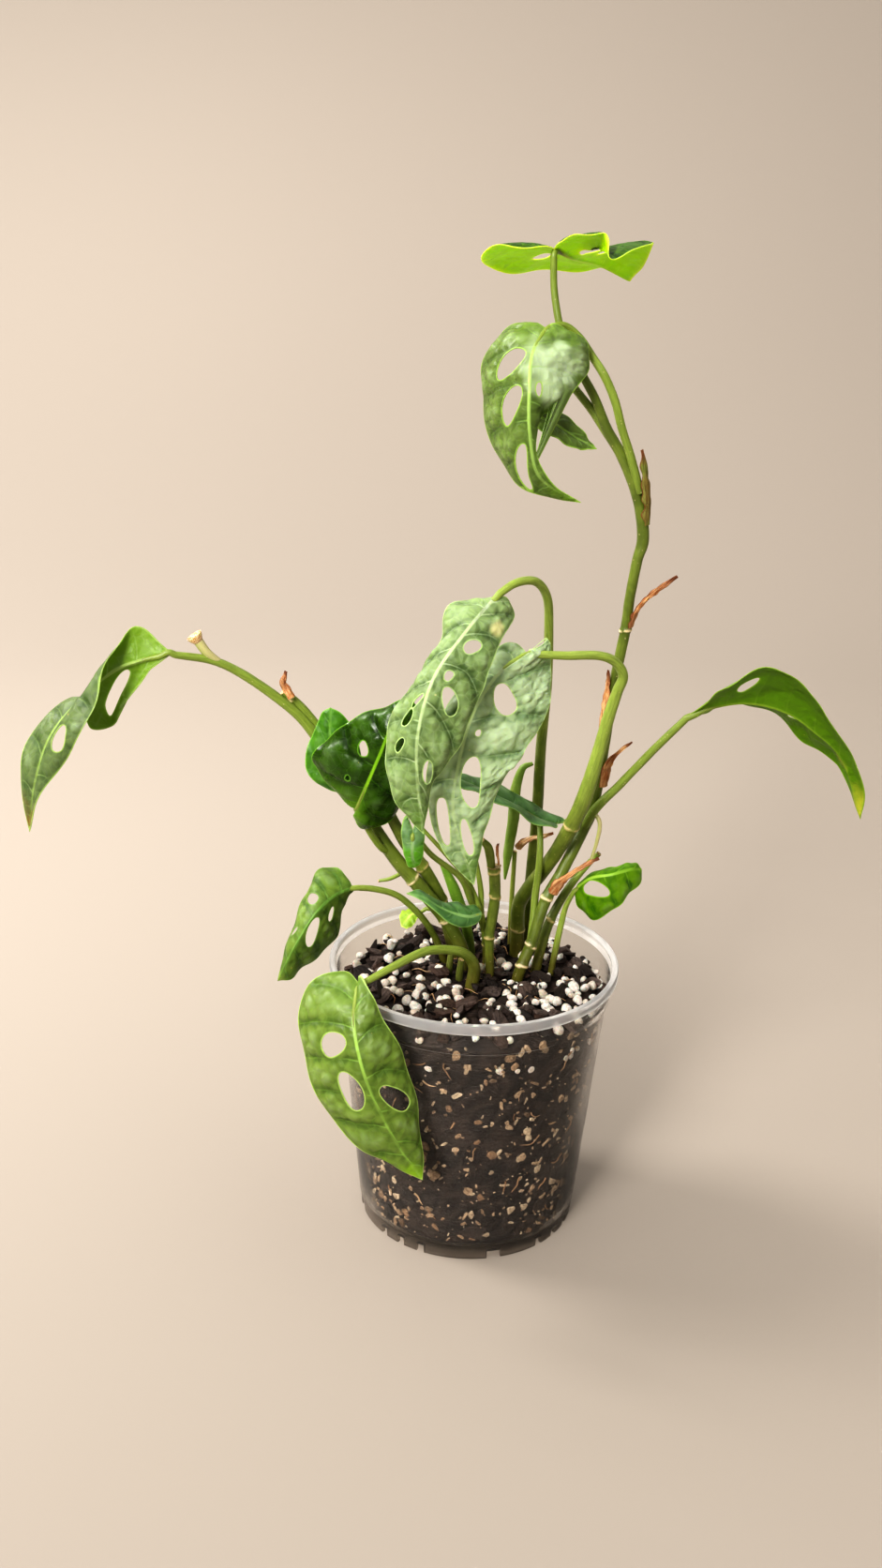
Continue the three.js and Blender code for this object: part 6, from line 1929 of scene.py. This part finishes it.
LEAVES: dict[str, Leaf] = {
    "leaf_front_left": Leaf(FRONT_LEFT, Blade(
        ((-52, -60, 149), (-54, -74, 138), (-48, -82, 114), (-35, -82, 84), (-22, -76, 59)),
        ((-52, -60, 154), (-47, -66, 149), (-41, -70, 138), (-32, -70, 120), (-25, -70, 93),
            (-22, -74, 71)),
        ((-60, -52, 152), (-76, -50, 144), (-80, -56, 128), (-75, -64, 108), (-65, -72, 89),
            (-47, -78, 74)),
        holes=((27, 12, 7, 5, 64), (49, 9, 9, 5.6, 0), (60, -9, 9.5, 4, -24)),
        knee=9, veins=8, quilt=1.0, crinkle=0.6, rib_width=1.1,
    )),
    "leaf_lower_left": Leaf(LOWER_LEFT, Blade(
        ((-58, -18, 178), (-66, -26, 177), (-74, -36, 172), (-83, -42, 158), (-91, -40, 140)),
        ((-58, -16, 175), (-62, -14, 169), (-64, -14, 158), (-67, -18, 150), (-76, -28, 145),
            (-85, -36, 140)),
        ((-61, -14, 182), (-68, -8, 184), (-75, -12, 183), (-80, -20, 174), (-85, -30, 162),
            (-89, -36, 150)),
        holes=((19, 7, 3.8, 3, 90), (17, -8, 5, 2, -40), (33, -5, 7.8, 3.6, -21), (37.5, 6, 3, 1.2, 15)),
        knee=7, veins=7, quilt=0.45, crinkle=0.4, rib_width=0.8,
    )),
    "leaf_far_left": Leaf(FAR_LEFT, Blade(
        ((-140, -10, 286), (-154, -12, 283), (-166, -18, 279), (-178, -28, 269), (-191, -32, 253),
            (-199, -32, 231), (-204, -28, 206)),
        ((-143, -9, 289), (-155, -8, 298), (-162, -16, 292), (-166, -32, 283), (-171, -38, 266),
            (-182, -38, 246), (-197, -34, 225)),
        ((-146, -12, 282), (-152, -14, 276), (-162, -13, 262), (-168, -12, 252), (-178, -10, 250),
            (-182, -14, 266), (-192, -18, 261), (-202, -22, 251), (-206, -26, 239), (-206, -28, 220)),
        holes=((29, 12.2, 12.5, 3.6, 47), (66, -6, 6.5, 3.6, -10)),
        knee=8, veins=8, quilt=0.5, crinkle=0.5,
    )),
    "leaf_far_right": Leaf(FAR_RIGHT, Blade(
        ((95, 0, 260), (107, 0, 265), (122, 0, 267), (139, 0, 263), (152, -2, 255), (167, -3, 241),
            (178, -4, 213)),
        ((101, 6, 259), (112, 14, 261), (129, 20, 260), (142, 18, 253), (156, 14, 242), (169, 8, 234),
            (173, 2, 225)),
        ((100, -4, 266), (106, -12, 275), (116, -16, 284), (129, -18, 289), (144, -18, 278),
            (162, -14, 256), (177, -8, 229)),
        holes=((25, 12, 5.5, 1.9, 67), (52, -6, 4.5, 2, 60)),
        knee=8, veins=9, quilt=0.4, crinkle=0.5, patches=((84, -4, 5),),
    )),
    "leaf_top": Leaf(TOP, Blade(
        ((24, 8, 461), (34, 28, 457), (47, 48, 454), (63, 66, 447)),
        ((19, 2, 462), (4, 2, 462), (-6, 14, 459), (-3, 40, 452), (13, 58, 450), (36, 68, 451),
            (54, 70, 452)),
        ((26, 0, 464), (33, -10, 467), (43, -12, 468), (45, -22, 459), (56, -12, 461), (66, 12, 465),
            (67, 40, 457)),
        holes=((19, 13, 9.5, 5.6, 50), (33, 14.5, 6.5, 3.2, 50), (22, -15, 7, 3, -50)),
        knee=6, veins=8, quilt=0.35, crinkle=0.4,
    ), slot="young_leaf"),
    "leaf_upper": Leaf(UPPER, Blade(
        ((21, -12, 430), (15, -26, 421), (14, -34, 406), (15, -36, 389), (20, -34, 372), (38, -28, 361)),
        ((25, -10, 432), (36, -8, 427), (40, -12, 415), (31, -22, 404), (20, -30, 395), (18, -35, 382),
            (26, -33, 369)),
        ((15, -4, 432), (3, 0, 428), (-5, 0, 413), (-3, -8, 393), (5, -20, 374), (19, -28, 364)),
        holes=((20, 11, 9, 4.6, 59), (39, 10, 9.5, 5, 28), (64, 6, 9, 2.8, 13), (33, -4, 2.8, 1.2, 0)),
        # The patches paint a pale reflection on the right half.
        knee=7, veins=8, quilt=0.8, crinkle=0.7, patches=((19, -11, 16), (30, -9, 10)),
    ), Blade(
        ((17, -32, 397), (26, -21, 392), (35, -14, 386), (45, -10, 381)),
        ((20, -27, 402), (28, -16, 397), (37, -11, 390), (42, -9, 384)),
        ((18, -33, 392), (26, -25, 387), (35, -18, 382), (41, -13, 381)),
        veins=5, quilt=0.3, rib_width=0.6,
    )),
    "leaf_centre_left": Leaf(CENTRE, Blade(
        ((3, -34, 321), (-9, -50, 310), (-22, -62, 293), (-28, -68, 271), (-28, -68, 250), (-25, -62, 223)),
        ((8, -30, 320), (12, -28, 312), (6, -44, 305), (0, -54, 291), (-9, -60, 266), (-20, -62, 248),
            (-24, -62, 233)),
        ((-4, -30, 319), (-17, -34, 316), (-20, -42, 304), (-29, -48, 289), (-39, -52, 274),
            (-42, -56, 256), (-36, -60, 235)),
        holes=((27, -6, 4, 2.8, 21), (44, -5, 2.4, 1.8, 0), (55, -10, 6.6, 3.4, -25), (59, 4, 4, 1, 33),
            (67, 7, 4, 2, 22), (79, 9, 4, 1.8, 42), (90, -5, 5.6, 2.5, 0)),
        knee=9, veins=9, quilt=1.1, crinkle=0.6, rib_width=1.2, patches=((12, -10, 4),),
    )),
    "leaf_centre_right": Leaf(CENTRE_RIGHT, Blade(
        ((18, -28, 295), (6, -38, 289), (-5, -44, 272), (-11, -46, 247), (-12, -46, 225), (-2, -40, 190)),
        ((21, -25, 299), (25, -22, 302), (29, -20, 294), (29, -24, 281), (27, -30, 266), (18, -36, 253),
            (9, -38, 239), (2, -40, 217)),
        ((13, -22, 298), (4, -27, 296), (-9, -34, 284), (-20, -40, 264), (-24, -41, 243), (-23, -41, 224),
            (-14, -42, 204)),
        holes=((28, -11, 9.5, 5, -47), (46, -5, 1.6, 1.3, 0), (70, -7, 13.5, 4.2, -10),
            (98, -3.4, 9.5, 2.2, 4), (88, 5.2, 11.5, 2.8, 2)),
        knee=9, veins=9, quilt=1.1, crinkle=0.6, rib_width=1.2,
    )),
    "leaf_dark_left": Leaf(DARK, Blade(
        ((-57, -10, 214), (-52, -16, 228), (-46, -20, 244), (-41, -20, 257), (-33, -16, 271)),
        ((-61, -8, 216), (-70, -4, 225), (-78, -2, 235), (-70, -4, 247), (-55, -8, 259), (-41, -12, 266)),
        ((-58, -6, 208), (-52, -4, 202), (-40, -4, 208), (-33, -6, 224), (-29, -10, 244), (-29, -12, 261)),
        holes=((32, -8, 3.9, 2.4, -23), (15, -9, 1.6, 1.1, 17)),
        knee=8, veins=6, quilt=1.0, crinkle=0.8, rib_width=1.2,
    ), slot="dark_leaf"),
    "leaf_behind_left": Leaf(BEHIND, Blade(
        ((-61, 6, 216), (-67, 4, 229), (-70, 4, 242), (-70, 6, 258)),
        ((-71, 6, 218), (-81, 4, 227), (-81, 6, 238), (-77, 7, 247), (-74, 7, 255)),
        ((-58, 7, 220), (-56, 7, 233), (-58, 7, 244), (-64, 7, 254)),
        knee=4, veins=5, quilt=0.4,
    )),
    "leaf_hanging_small": Leaf(HANGING, Blade(
        ((-30, -42, 217), (-30, -44, 211), (-30, -44, 206), (-29, -40, 198)),
        ((-28, -42, 222), (-25, -42, 218), (-25, -42, 209), (-26, -40, 201)),
        ((-33, -42, 224), (-35, -42, 217), (-34, -42, 207), (-32, -40, 199)),
        knee=4, veins=4, quilt=0.25, crinkle=0.2, rib_width=0.6, spacing=0.8,
    )),
    "leaf_low_right": Leaf(LOW_RIGHT, Blade(
        ((48, 4, 171), (54, 0, 178), (64, -4, 182), (73, 0, 183), (79, 6, 181)),
        ((50, 5, 174), (57, 4, 180), (64, 2, 183), (71, 4, 184), (76, 6, 184)),
        ((48, 6, 166), (51, 6, 159), (58, 2, 156), (67, -2, 164), (74, 0, 171), (79, 4, 176)),
        holes=((11, 5.6, 8, 3.8, 19),),
        knee=5, veins=5, quilt=0.4, crinkle=0.3, rib_width=0.8, spacing=0.9,
    )),
    "leaf_front_small": Leaf(SMALL, Blade(
        ((3, -8, 162), (-4, -14, 163), (-15, -16, 167), (-25, -16, 173), (-33, -14, 174)),
        ((1, -12, 159), (-6, -16, 158), (-14, -20, 163), (-24, -18, 171)),
        ((0, -4, 164), (-8, -6, 166), (-17, -8, 168), (-27, -10, 174)),
        knee=4, veins=6, quilt=0.45, crinkle=0.4, rib_width=0.7, spacing=0.9,
    )),
    "leaf_mid_small": Leaf(SMALL, Blade(
        ((30, 14, 199.5), (20, 10, 208.5), (8.5, 6, 216), (-4, 0, 224), (-15, -6, 230)),
        ((38, 8, 201.5), (33, -2, 204), (21.5, -8, 211), (8.5, -12, 220), (-5, -12, 225), (-11, -10, 229)),
        ((43, 18, 199), (36.5, 24, 201), (24.5, 24, 207.5), (12, 22, 215.5), (-1.5, 14, 223),
            (-10, 4, 227.5)),
        knee=5, veins=6, quilt=0.3, crinkle=0.3, rib_width=0.7, spacing=0.9,
    )),
    "leaf_yellow_small": Leaf(YELLOW, Blade(
        ((-27, 26, 146), (-31, 24, 146), (-34, 22, 143), (-36, 20, 141)),
        ((-28, 22, 145), (-30, 20, 142), (-33, 18, 141)),
        ((-29, 30, 146), (-34, 32, 145), (-37, 28, 144)),
        knee=3, veins=3, quilt=0.2, crinkle=0.2, rib_width=0.5, spacing=0.7,
    ), slot="young_leaf"),
}
SHOOTS: dict[str, Shoot] = {
    "stem_front": Shoot((
        Stalk((
            (22, 27, 108, 3.4), (22, 27, 124, 3.6), (22, 26, 139, 3.5), (22, 23, 153, 3.5),
            (26, 18, 164, 3.5), (32, 12, 176, 3.5), (38, 6, 189, 3.5), (44, 0, 205, 3.7),
            (49, -4, 221, 3.8), (53, -7, 240, 3.1), (57, -10, 261, 2.8), (60, -12, 274, 2.5),
            (62, -14, 282, 2.3), (58, -17, 289, 2.1), (50, -21, 293, 2), (34, -26, 294, 1.9),
            (18, -28, 295, 1.7),
        ), rings=((2, 0.4), (7, 0.5)), leaf="leaf_centre_right", pale_from=0.5),
    )),
    "stem_tall": Shoot((
        Stalk((
            (20, -6, 108, 2.8), (21, -6, 125, 2.8), (23, -6, 134, 2.8), (27, -4, 144, 2.8),
            (30, -2, 155, 2.7), (34, 1, 167, 2.8), (40, 5, 177, 2.8), (46, 10, 188, 2.8),
            (51, 14, 198, 2.9), (55, 14, 210, 2.8), (58, 11, 239, 2.5), (60, 9, 265, 2.5),
            (62, 7, 283, 2.4), (64, 6, 298, 2.4), (65, 5, 313, 2.3), (67, 4, 330, 2.3), (69, 4, 340, 2.8),
            (67, 3, 353, 2.5), (63, 2, 365, 2.6), (57, 2, 377, 2.4), (50, 2, 388, 2.3), (44, 2, 401, 1.9),
            (38, 2, 411, 1.8), (29, 5, 427, 1.6), (25, 8, 444, 1.5), (24, 8, 460, 1.4),
        ), rings=((2, 0.5), (3, 0.5), (5, 0.4), (13, 0.6)), leaf="leaf_top", pale_from=0.9),
        Stalk((
            (66, 1, 361, 1.9), (61, -1, 376, 1.9), (56, -3, 389, 1.8), (52, -4, 401, 1.8),
            (47, -4, 411, 1.8), (42, -3, 418, 1.7), (36, -3, 426, 1.6), (29, -5, 431, 1.5),
            (21, -12, 430, 1.4),
        ), leaf="leaf_upper"),
        Stalk((
            (57, 2, 377, 2), (49, 3, 388, 2), (43, 4, 396, 1.8), (35, 5, 405, 1.7), (31, 6, 410, 1.6),
        )),
        Stalk((
            (51, 14, 198, 2.2), (56, 10, 210, 2.2), (66, 7, 223, 2), (81, 3, 243, 1.9), (95, 0, 260, 1.7),
        ), leaf="leaf_far_right"),
        Stalk((
            (27, -4, 147, 1.9), (28, 0, 155, 1.9), (28.5, 3, 166, 1.8), (29.5, 4, 177, 1.7),
            (30, 5, 187, 1.6), (30, 8, 195, 1.5), (30, 14, 199.5, 1.4),
        ), leaf="leaf_mid_small"),
        Stalk((
            (55, 11, 208, 1), (58, 8, 203, 1), (57, 8, 193, 0.9), (54.5, 8, 183, 0.6),
        ), bleached=0.6),
    ), TORN),
    "stem_centre": Shoot((
        Stalk((
            (27, 34, 108, 2.8), (27, 34, 128, 2.9), (28, 34, 161, 2.9), (29.5, 33, 196, 2.8),
            (29.5, 25, 237, 2.5), (30, 12, 268, 2.3), (29, 0, 295, 2.1), (27, -10, 315, 2),
            (21, -20, 325, 1.9), (12, -28, 326, 1.8), (3, -34, 321, 1.6),
        ), rings=((3, 0.4),), leaf="leaf_centre_left", pale_from=0.5),
    )),
    "stem_short": Shoot((
        Stalk((
            (8, -3, 108, 2.1), (8, -3, 125, 2.2), (7, -3, 147, 2.3), (8, -3, 157, 2.6), (9, -3, 169, 2.6),
            (8, -3, 184, 2.8),
        ), rings=((2, 0.4), (4, 0.4), (4.85, 0.4)), pale_from=2.0, flare=1.25),
        Stalk((
            (7, -3, 180, 1.6), (6.5, -3, 186, 2), (5, -4, 194, 2.2), (2, -5, 198, 1.3),
        ), pale_from=2.0),
    )),
    "stem_left": Shoot((
        Stalk((
            (-3, 8, 108, 3), (-4, 8, 124, 3.1), (-6, 8, 136, 3.2), (-14, 8, 151, 3.4), (-25, 9, 165, 3.6),
            (-40, 10, 183, 3.4), (-56, 12, 207, 3), (-78, 12, 243, 2.6), (-93, 8, 260, 2.3),
            (-118, 0, 279, 2), (-140, -10, 286, 1.6),
        ), rings=((3, 0.5), (4.4, 0.5)), leaf="leaf_far_left", pale_from=0.5),
        Stalk((
            (-70, 13, 234, 1.6), (-76, 14, 245, 2), (-84, 12, 256, 2), (-92, 10, 264, 1.9),
        ), rings=((2.6, 0.5),), pale_from=0.3),
        Stalk((
            (-119, 0, 279, 1.8), (-125, -3, 285, 2.1), (-129, -4, 291, 2.3),
        ), bleached=0.45, flare=1.7, lip=3.0),
        Stalk((
            (-42, 10, 185, 1.8), (-46, 6, 189, 1.7), (-51, 2, 198, 1.6), (-55, -1, 207, 1.5),
            (-57, -5, 212, 1.4), (-57, -10, 214, 1.2),
        ), leaf="leaf_dark_left"),
        Stalk((
            (-50, 11, 198, 1.6), (-55, 8.5, 206, 1.5), (-59, 7, 211, 1.4), (-61, 6, 216, 1.2),
        ), leaf="leaf_behind_left"),
        Stalk((
            (-33, 10, 176, 1.1), (-41, 13, 170, 1), (-47, 14, 168, 0.7),
        )),
    ), TORN),
    "stem_left_back": Shoot((
        Stalk((
            (-8, 21, 108, 3.3), (-9, 21, 124, 3.4), (-11, 20, 136, 3.4), (-17, 18, 157, 3.4),
            (-26, 14, 176, 3.2), (-35, 10, 191, 3), (-42, 6, 206, 2.6),
        ), rings=((3, 0.4), (4, 0.5)), pale_from=2.0),
        Stalk((
            (-11, 21, 138, 1.2), (-17, 25, 146, 1.1), (-23, 27, 148, 1.1), (-27, 26, 146, 0.9),
        ), leaf="leaf_yellow_small"),
    )),
    "stem_leafless": Shoot((
        Stalk((
            (-1, 24, 108, 2.3), (-1, 24, 124, 2.4), (-4, 24, 142, 2.6), (-10, 22, 160, 3),
            (-16, 20, 175, 1.6),
        ), pale_from=2.0),
    ), FRESH),
    "stem_paired": Shoot((
        Stalk((
            (7, 13, 108, 2.3), (7, 13, 124, 2.3), (5, 10, 146, 2), (-2, 0, 164, 1.5), (-8, -12, 182, 1.4),
            (-22, -28, 200, 1.3), (-30, -42, 217, 1.1),
        ), rings=((1.6, 0.5),), leaf="leaf_hanging_small", pale_from=0.35),
        Stalk((
            (6, 11, 137, 1.6), (5, 5, 144, 1.4), (3, 2, 157, 1.3), (-4, 0, 175, 1.2), (-13, -4, 188, 1.1),
            (-26, -10, 205, 0.9),
        )),
        Stalk((
            (4, 4, 148, 1.2), (3, 4, 158, 1.3), (2.5, 5, 167, 1.4), (1, 5, 177, 1.2), (-1, 5, 187, 0.7),
        )),
        Stalk((
            (6, 9, 140, 1.4), (4.5, 2, 150, 1.3), (3.5, -4, 157, 1.2), (3, -8, 162, 1),
        ), leaf="leaf_front_small"),
    )),
    "stem_right_cut": Shoot((
        Stalk((
            (29, 3, 108, 2.3), (30, 3, 124, 2.4), (33, 5, 140, 2.4), (37, 9, 152, 2.3), (43, 13, 163, 2),
            (49, 15, 172, 1.8), (55, 15, 180, 1.5), (59, 14, 185, 1.3),
        ), rings=((3, 0.4),), pale_from=0.7),
    )),
    "stem_right_leaf": Shoot((
        Stalk((
            (38, 3, 108, 1.6), (38, 4, 124, 1.6), (40, 5, 139, 1.6), (42, 6, 151, 1.5), (44, 6, 161, 1.3),
            (48, 4, 171, 1.1),
        ), leaf="leaf_low_right", pale_from=0.4),
    )),
    "stem_front_left": Shoot((
        Stalk((
            (-1, -12, 108, 3.1), (-1, -12, 124, 3.3), (0, -12, 135, 3), (-3, -14, 142, 2.6),
            (-10, -20, 148, 2.3), (-23, -32, 153, 2.1), (-37, -48, 153, 1.9), (-52, -60, 149, 1.5),
        ), leaf="leaf_front_left", pale_from=0.35),
    )),
    "stem_lower_left": Shoot((
        Stalk((
            (-13, 12, 108, 1.8), (-14, 12, 124, 1.8), (-18, 8, 139, 1.7), (-26, 2, 155, 1.6),
            (-37, -6, 169, 1.5), (-48, -12, 175, 1.5), (-58, -18, 178, 1.3),
        ), leaf="leaf_lower_left", pale_from=0.5),
    )),
    "stem_pale": Shoot((
        Stalk((
            (19, 37, 108, 1.2), (19, 37, 124, 1.2), (19, 36, 150, 1.2), (19.5, 34, 177, 1.1),
        )),
    ), PALE, slot="old_stem"),
    "stub_brown": Shoot((
        Stalk((
            (-12, 2, 108, 1.7), (-12, 2, 124, 1.8), (-11, 3, 138, 1.4),
        )),
    ), BROWN, slot="dry_sheath"),
    "stub_olive": Shoot((
        Stalk((
            (-7, -4, 108, 1.8), (-7, -4, 124, 1.9), (-6, -5, 136, 1.6),
        )),
    ), OLIVE, slot="old_stem"),
}
SHEATHS: dict[str, Sheath] = {
    "sheath_ring": Sheath(
        backs=((66.9, 4, 300), (68, 2, 306), (71, -1, 313), (76, -4, 319), (84, -6, 326)),
        half_widths=(3, 2.6, 1.8, 1.4, 0.9), curls=(3.6, 3.4, 2.6, 2.2, 2),
        outward=((1, -0.6, 0), (0.3, -1, 0.5)),
    ),
    "sheath_behind": Sheath(
        backs=((55.5, 8.5, 250), (56.2, 8, 260), (57.2, 7, 270), (57.5, 6.2, 279)),
        half_widths=(2.4, 2.8, 2.2, 0.8), curls=(3.6, 3.4, 3.4, 3.2),
        outward=((-0.9, -0.45, 0), (-0.9, -0.45, 0)),
    ),
    "sheath_axil": Sheath(
        backs=((59, 8.9, 221), (59.8, 8, 228), (60.6, 6.4, 234), (65, 4, 241), (70, 2, 246)),
        half_widths=(2.6, 3, 2, 0.8, 0.6), curls=(3.8, 3.8, 3, 2, 2),
        outward=((0.5, -0.85, 0), (0.2, -1, 0.2)),
    ),
    "sheath_big": Sheath(
        backs=((36.5, -2, 170), (38.5, -3.6, 175), (43, -6, 181), (50, -7, 187), (57, -6, 191)),
        half_widths=(2.6, 3.4, 1.7, 1.5, 1.1), curls=(4, 3.2, 1.3, 1.2, 1),
        outward=((0, -1, 0), (0.2, -1, 0.4)),
    ),
    "sheath_pale": Sheath(
        backs=((20.7, 32.4, 179), (22.5, 27, 184.5), (27, 21.5, 189.5), (32, 20, 191), (37, 20, 193)),
        half_widths=(2.4, 2, 1.5, 1.2, 0.9), curls=(2.2, 2.2, 2, 2, 2),
        outward=((0, -1, 0.3), (0, -0.6, 1)), finish=CREAM_SKIN,
    ),
    "sheath_upper": Sheath(
        backs=((70.4, 0.6, 347), (70.2, 0.2, 357), (68.4, -0.6, 368), (65.6, -1.2, 380)),
        half_widths=(2.6, 3.4, 3, 1.4), curls=(3.8, 3.4, 3.2, 3),
        outward=((0.75, -0.65, 0), (0.75, -0.65, 0.2)), finish=OLIVE_SKIN,
    ),
    "sheath_stub": Sheath(
        backs=((-88, 5.6, 262), (-90, 5.4, 266), (-92, 5.4, 270), (-90.5, 5.6, 275)),
        half_widths=(2, 2, 1.6, 1), curls=(2.4, 2.2, 2, 2), outward=((0.2, -1, 0.3), (-0.5, -0.8, 0.3)),
    ),
    "sheath_short": Sheath(
        backs=((10.6, -2.6, 185.2), (10, -2, 189), (9.4, -1.4, 192), (10, -1, 195)),
        half_widths=(1.4, 1.3, 1.1, 0.8), curls=(2, 2, 2, 2), outward=((1, -0.2, 0), (0.6, -0.6, 0)),
    ),
}


@dataclass
class RolledLeaf:
    """A young leaf that is still rolled up, hanging from an arching stalk."""

    points: Sequence[Point] = (
        (26.2, 29.6, 225), (21, 29, 222), (18, 29, 209), (18, 30, 197), (16, 32, 177), (15, 32, 163)
    )
    radii: Sequence[float] = (0.9, 1.8, 2.8, 2.9, 2.4, 0.6)
    turns: float = 1.6
    rings: int = 90
    sides: int = 40
    finish: StemFinish = StemFinish(stem=(150, 176, 84), shade=(118, 150, 56))

    def build(self, effects: Effects) -> None:
        """Builds and dresses the rolled leaf, with the edge of the blade winding down it.

        Args:
            effects: The shared effects.
        """
        path = Curve(self.points)
        reaches = np.linspace(0, path.length, self.rings)
        counted = np.linspace(0, 1, len(self.radii))
        radii = np.interp(path.step_at(reaches), counted, self.radii)[:, None]
        turn = np.linspace(0, 1, self.sides, endpoint=False)
        wound = np.mod(turn + self.turns * (reaches / path.length)[:, None], 1.0)
        step = fade(wound, 0.0, 0.06) * (1 - 0.22 * wound)
        radii = radii * (0.86 + 0.14 * step) * (1 + 0.02 * np.cos(wound * 25))
        tube = tube_surface(path, reaches, radii, closed=True)
        edge = np.exp(-((wound.ravel() / 0.05) ** 2))
        marks = np.column_stack([edge, 0 * edge, 0 * edge])
        tube.fields["marks"] = np.vstack([marks, marks[-1:]])
        piece = make_piece("rolled_blade", [tube], [self.finish.material("rolled leaf", effects)])
        seat_piece(piece, "leaf_rolled")


@dataclass(frozen=True)
class Lamp:
    """A square soft lamp, with metres for its place, its aim and its side."""

    place: Point
    aim: Point
    spread: float
    power: float
    side: float = 1.0


@dataclass
class Studio:
    """The plain studio: a floor that sweeps up far away, soft lamps and the camera."""

    camera_place: Point = (-0.018, -0.693, 0.472)
    pitch: float = 19.7
    roll: float = 1.4
    lens: float = 36.24
    sensor: float = 36.0
    sight: float = 50.0
    flat_reach: float = 1.1
    sweep_reach: float = 4.4
    sweep_height: float = 2.4
    floor_colour: Colour = (170, 160, 149)
    sky: Colour = (246, 244, 242)
    sky_strength: float = 0.8
    lamp_colour: Point = (1.0, 0.98, 0.96)
    key: Lamp = Lamp((-2.2, 0.7, 2.0), (0.0, 0.0, 0.15), 70.0, 7.4)
    front: Lamp = Lamp((-1.3, -2.2, 2.3), (0.0, 0.0, 0.15), 70.0, 6.8)
    wall: Lamp = Lamp((-1.2, -2.0, 1.6), (-0.8, 3.2, 0.3), 66.0, 33.0)

    def build(self) -> None:
        """Builds the camera, the floor and the lamps."""
        self.make_camera()
        self.make_floor()
        self.make_lamps()

    def stand(self, data: bpy.types.ID, place: Point, turn: Matrix | Quaternion) -> bpy.types.Object:
        """Adds a camera or a lamp.

        Args:
            data: Its lens or light.
            place: Where it stands.
            turn: How it is turned from looking down.

        Returns:
            The object.
        """
        item = bpy.data.objects.new(data.name, data)
        item.matrix_world = Matrix.LocRotScale(place, turn, None)
        bpy.context.scene.collection.objects.link(item)
        return item

    def make_camera(self) -> None:
        """Places the camera at the photograph's viewing angle."""
        data = bpy.data.cameras.new("camera")
        data.lens = self.lens
        data.sensor_width = self.sensor
        data.clip_end = self.sight
        turn = turned(math.radians(90 - self.pitch), "X") @ turned(math.radians(self.roll), "Z")
        bpy.context.scene.camera = self.stand(data, self.camera_place, turn)

    def make_floor(self) -> None:
        """Makes the pale floor, which rises smoothly all round where it is far away."""
        segments, span = 96, self.sweep_reach - self.flat_reach
        rings = [(0.25, 0.0), (0.7, 0.0)]
        for share in np.linspace(0, 1, 32):
            rings.append((self.flat_reach + span * share, self.sweep_height * share ** 2))
        points = np.vstack([np.zeros((1, 3)), lathe(rings, segments)])
        faces = [(tip, here, ahead) for here, ahead, tip in fan(1, segments, 0)]
        faces += [(a, d, c, b) for a, b, c, d in ring_faces(len(rings), segments, 1)]
        material, nodes, shader = new_material("studio floor")
        colour = display(*self.floor_colour)
        nodes.fill(shader, {"Base Color": colour, "Roughness": 0.75, "Specular IOR Level": 0.25})
        make_piece("studio_floor", [Surface(points / MM, faces)], [material])

    def make_lamps(self) -> None:
        """Sets the lamps and the even light of the room."""
        for name, lamp in {"key": self.key, "front": self.front, "wall": self.wall}.items():
            data = bpy.data.lights.new(name, "AREA")
            data.size = lamp.side
            data.energy = lamp.power
            data.color = self.lamp_colour
            data.spread = math.radians(lamp.spread)
            back = Vector(lamp.place) - Vector(lamp.aim)
            self.stand(data, lamp.place, back.to_track_quat("Z", "Y"))
        world = bpy.data.worlds.new("room")
        world.use_nodes = True
        background = world.node_tree.nodes["Background"]
        background.inputs["Color"].default_value = display(*self.sky)
        background.inputs["Strength"].default_value = self.sky_strength
        bpy.context.scene.world = world


def build_plant(effects: Effects) -> None:
    """Builds the shoots with their leaves, the rolled leaf and the sheaths.

    Args:
        effects: The shared effects.
    """
    looks: dict[StemFinish | SheathFinish, Material] = {}
    for name, shoot in SHOOTS.items():
        if shoot.finish not in looks:
            looks[shoot.finish] = shoot.finish.material(f"stem {len(looks)}", effects)
        shoot.build(name, LEAVES, looks[shoot.finish])
        for stalk in shoot.stalks:
            if stalk.leaf:
                LEAVES[stalk.leaf].build(stalk.leaf, stalk, effects, looks[shoot.finish])
    RolledLeaf().build(effects)
    for name, sheath in SHEATHS.items():
        if sheath.finish not in looks:
            looks[sheath.finish] = sheath.finish.material(f"sheath {len(looks)}", effects)
        sheath.build(name, looks[sheath.finish])


def main() -> None:
    """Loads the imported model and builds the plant's looks around it."""
    logging.basicConfig(level=logging.INFO, format="%(message)s")
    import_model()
    view = bpy.context.scene.view_settings
    view.view_transform = "Standard"
    view.look = "High Contrast"
    effects = Effects()
    Studio().build()
    Pot().build()
    feet = [shoot.stalks[0].knots[1] for shoot in SHOOTS.values()]
    PottingMix([(x, y, radius) for x, y, _, radius in feet]).build(effects)
    build_plant(effects)


if __name__ == "__main__":
    main()
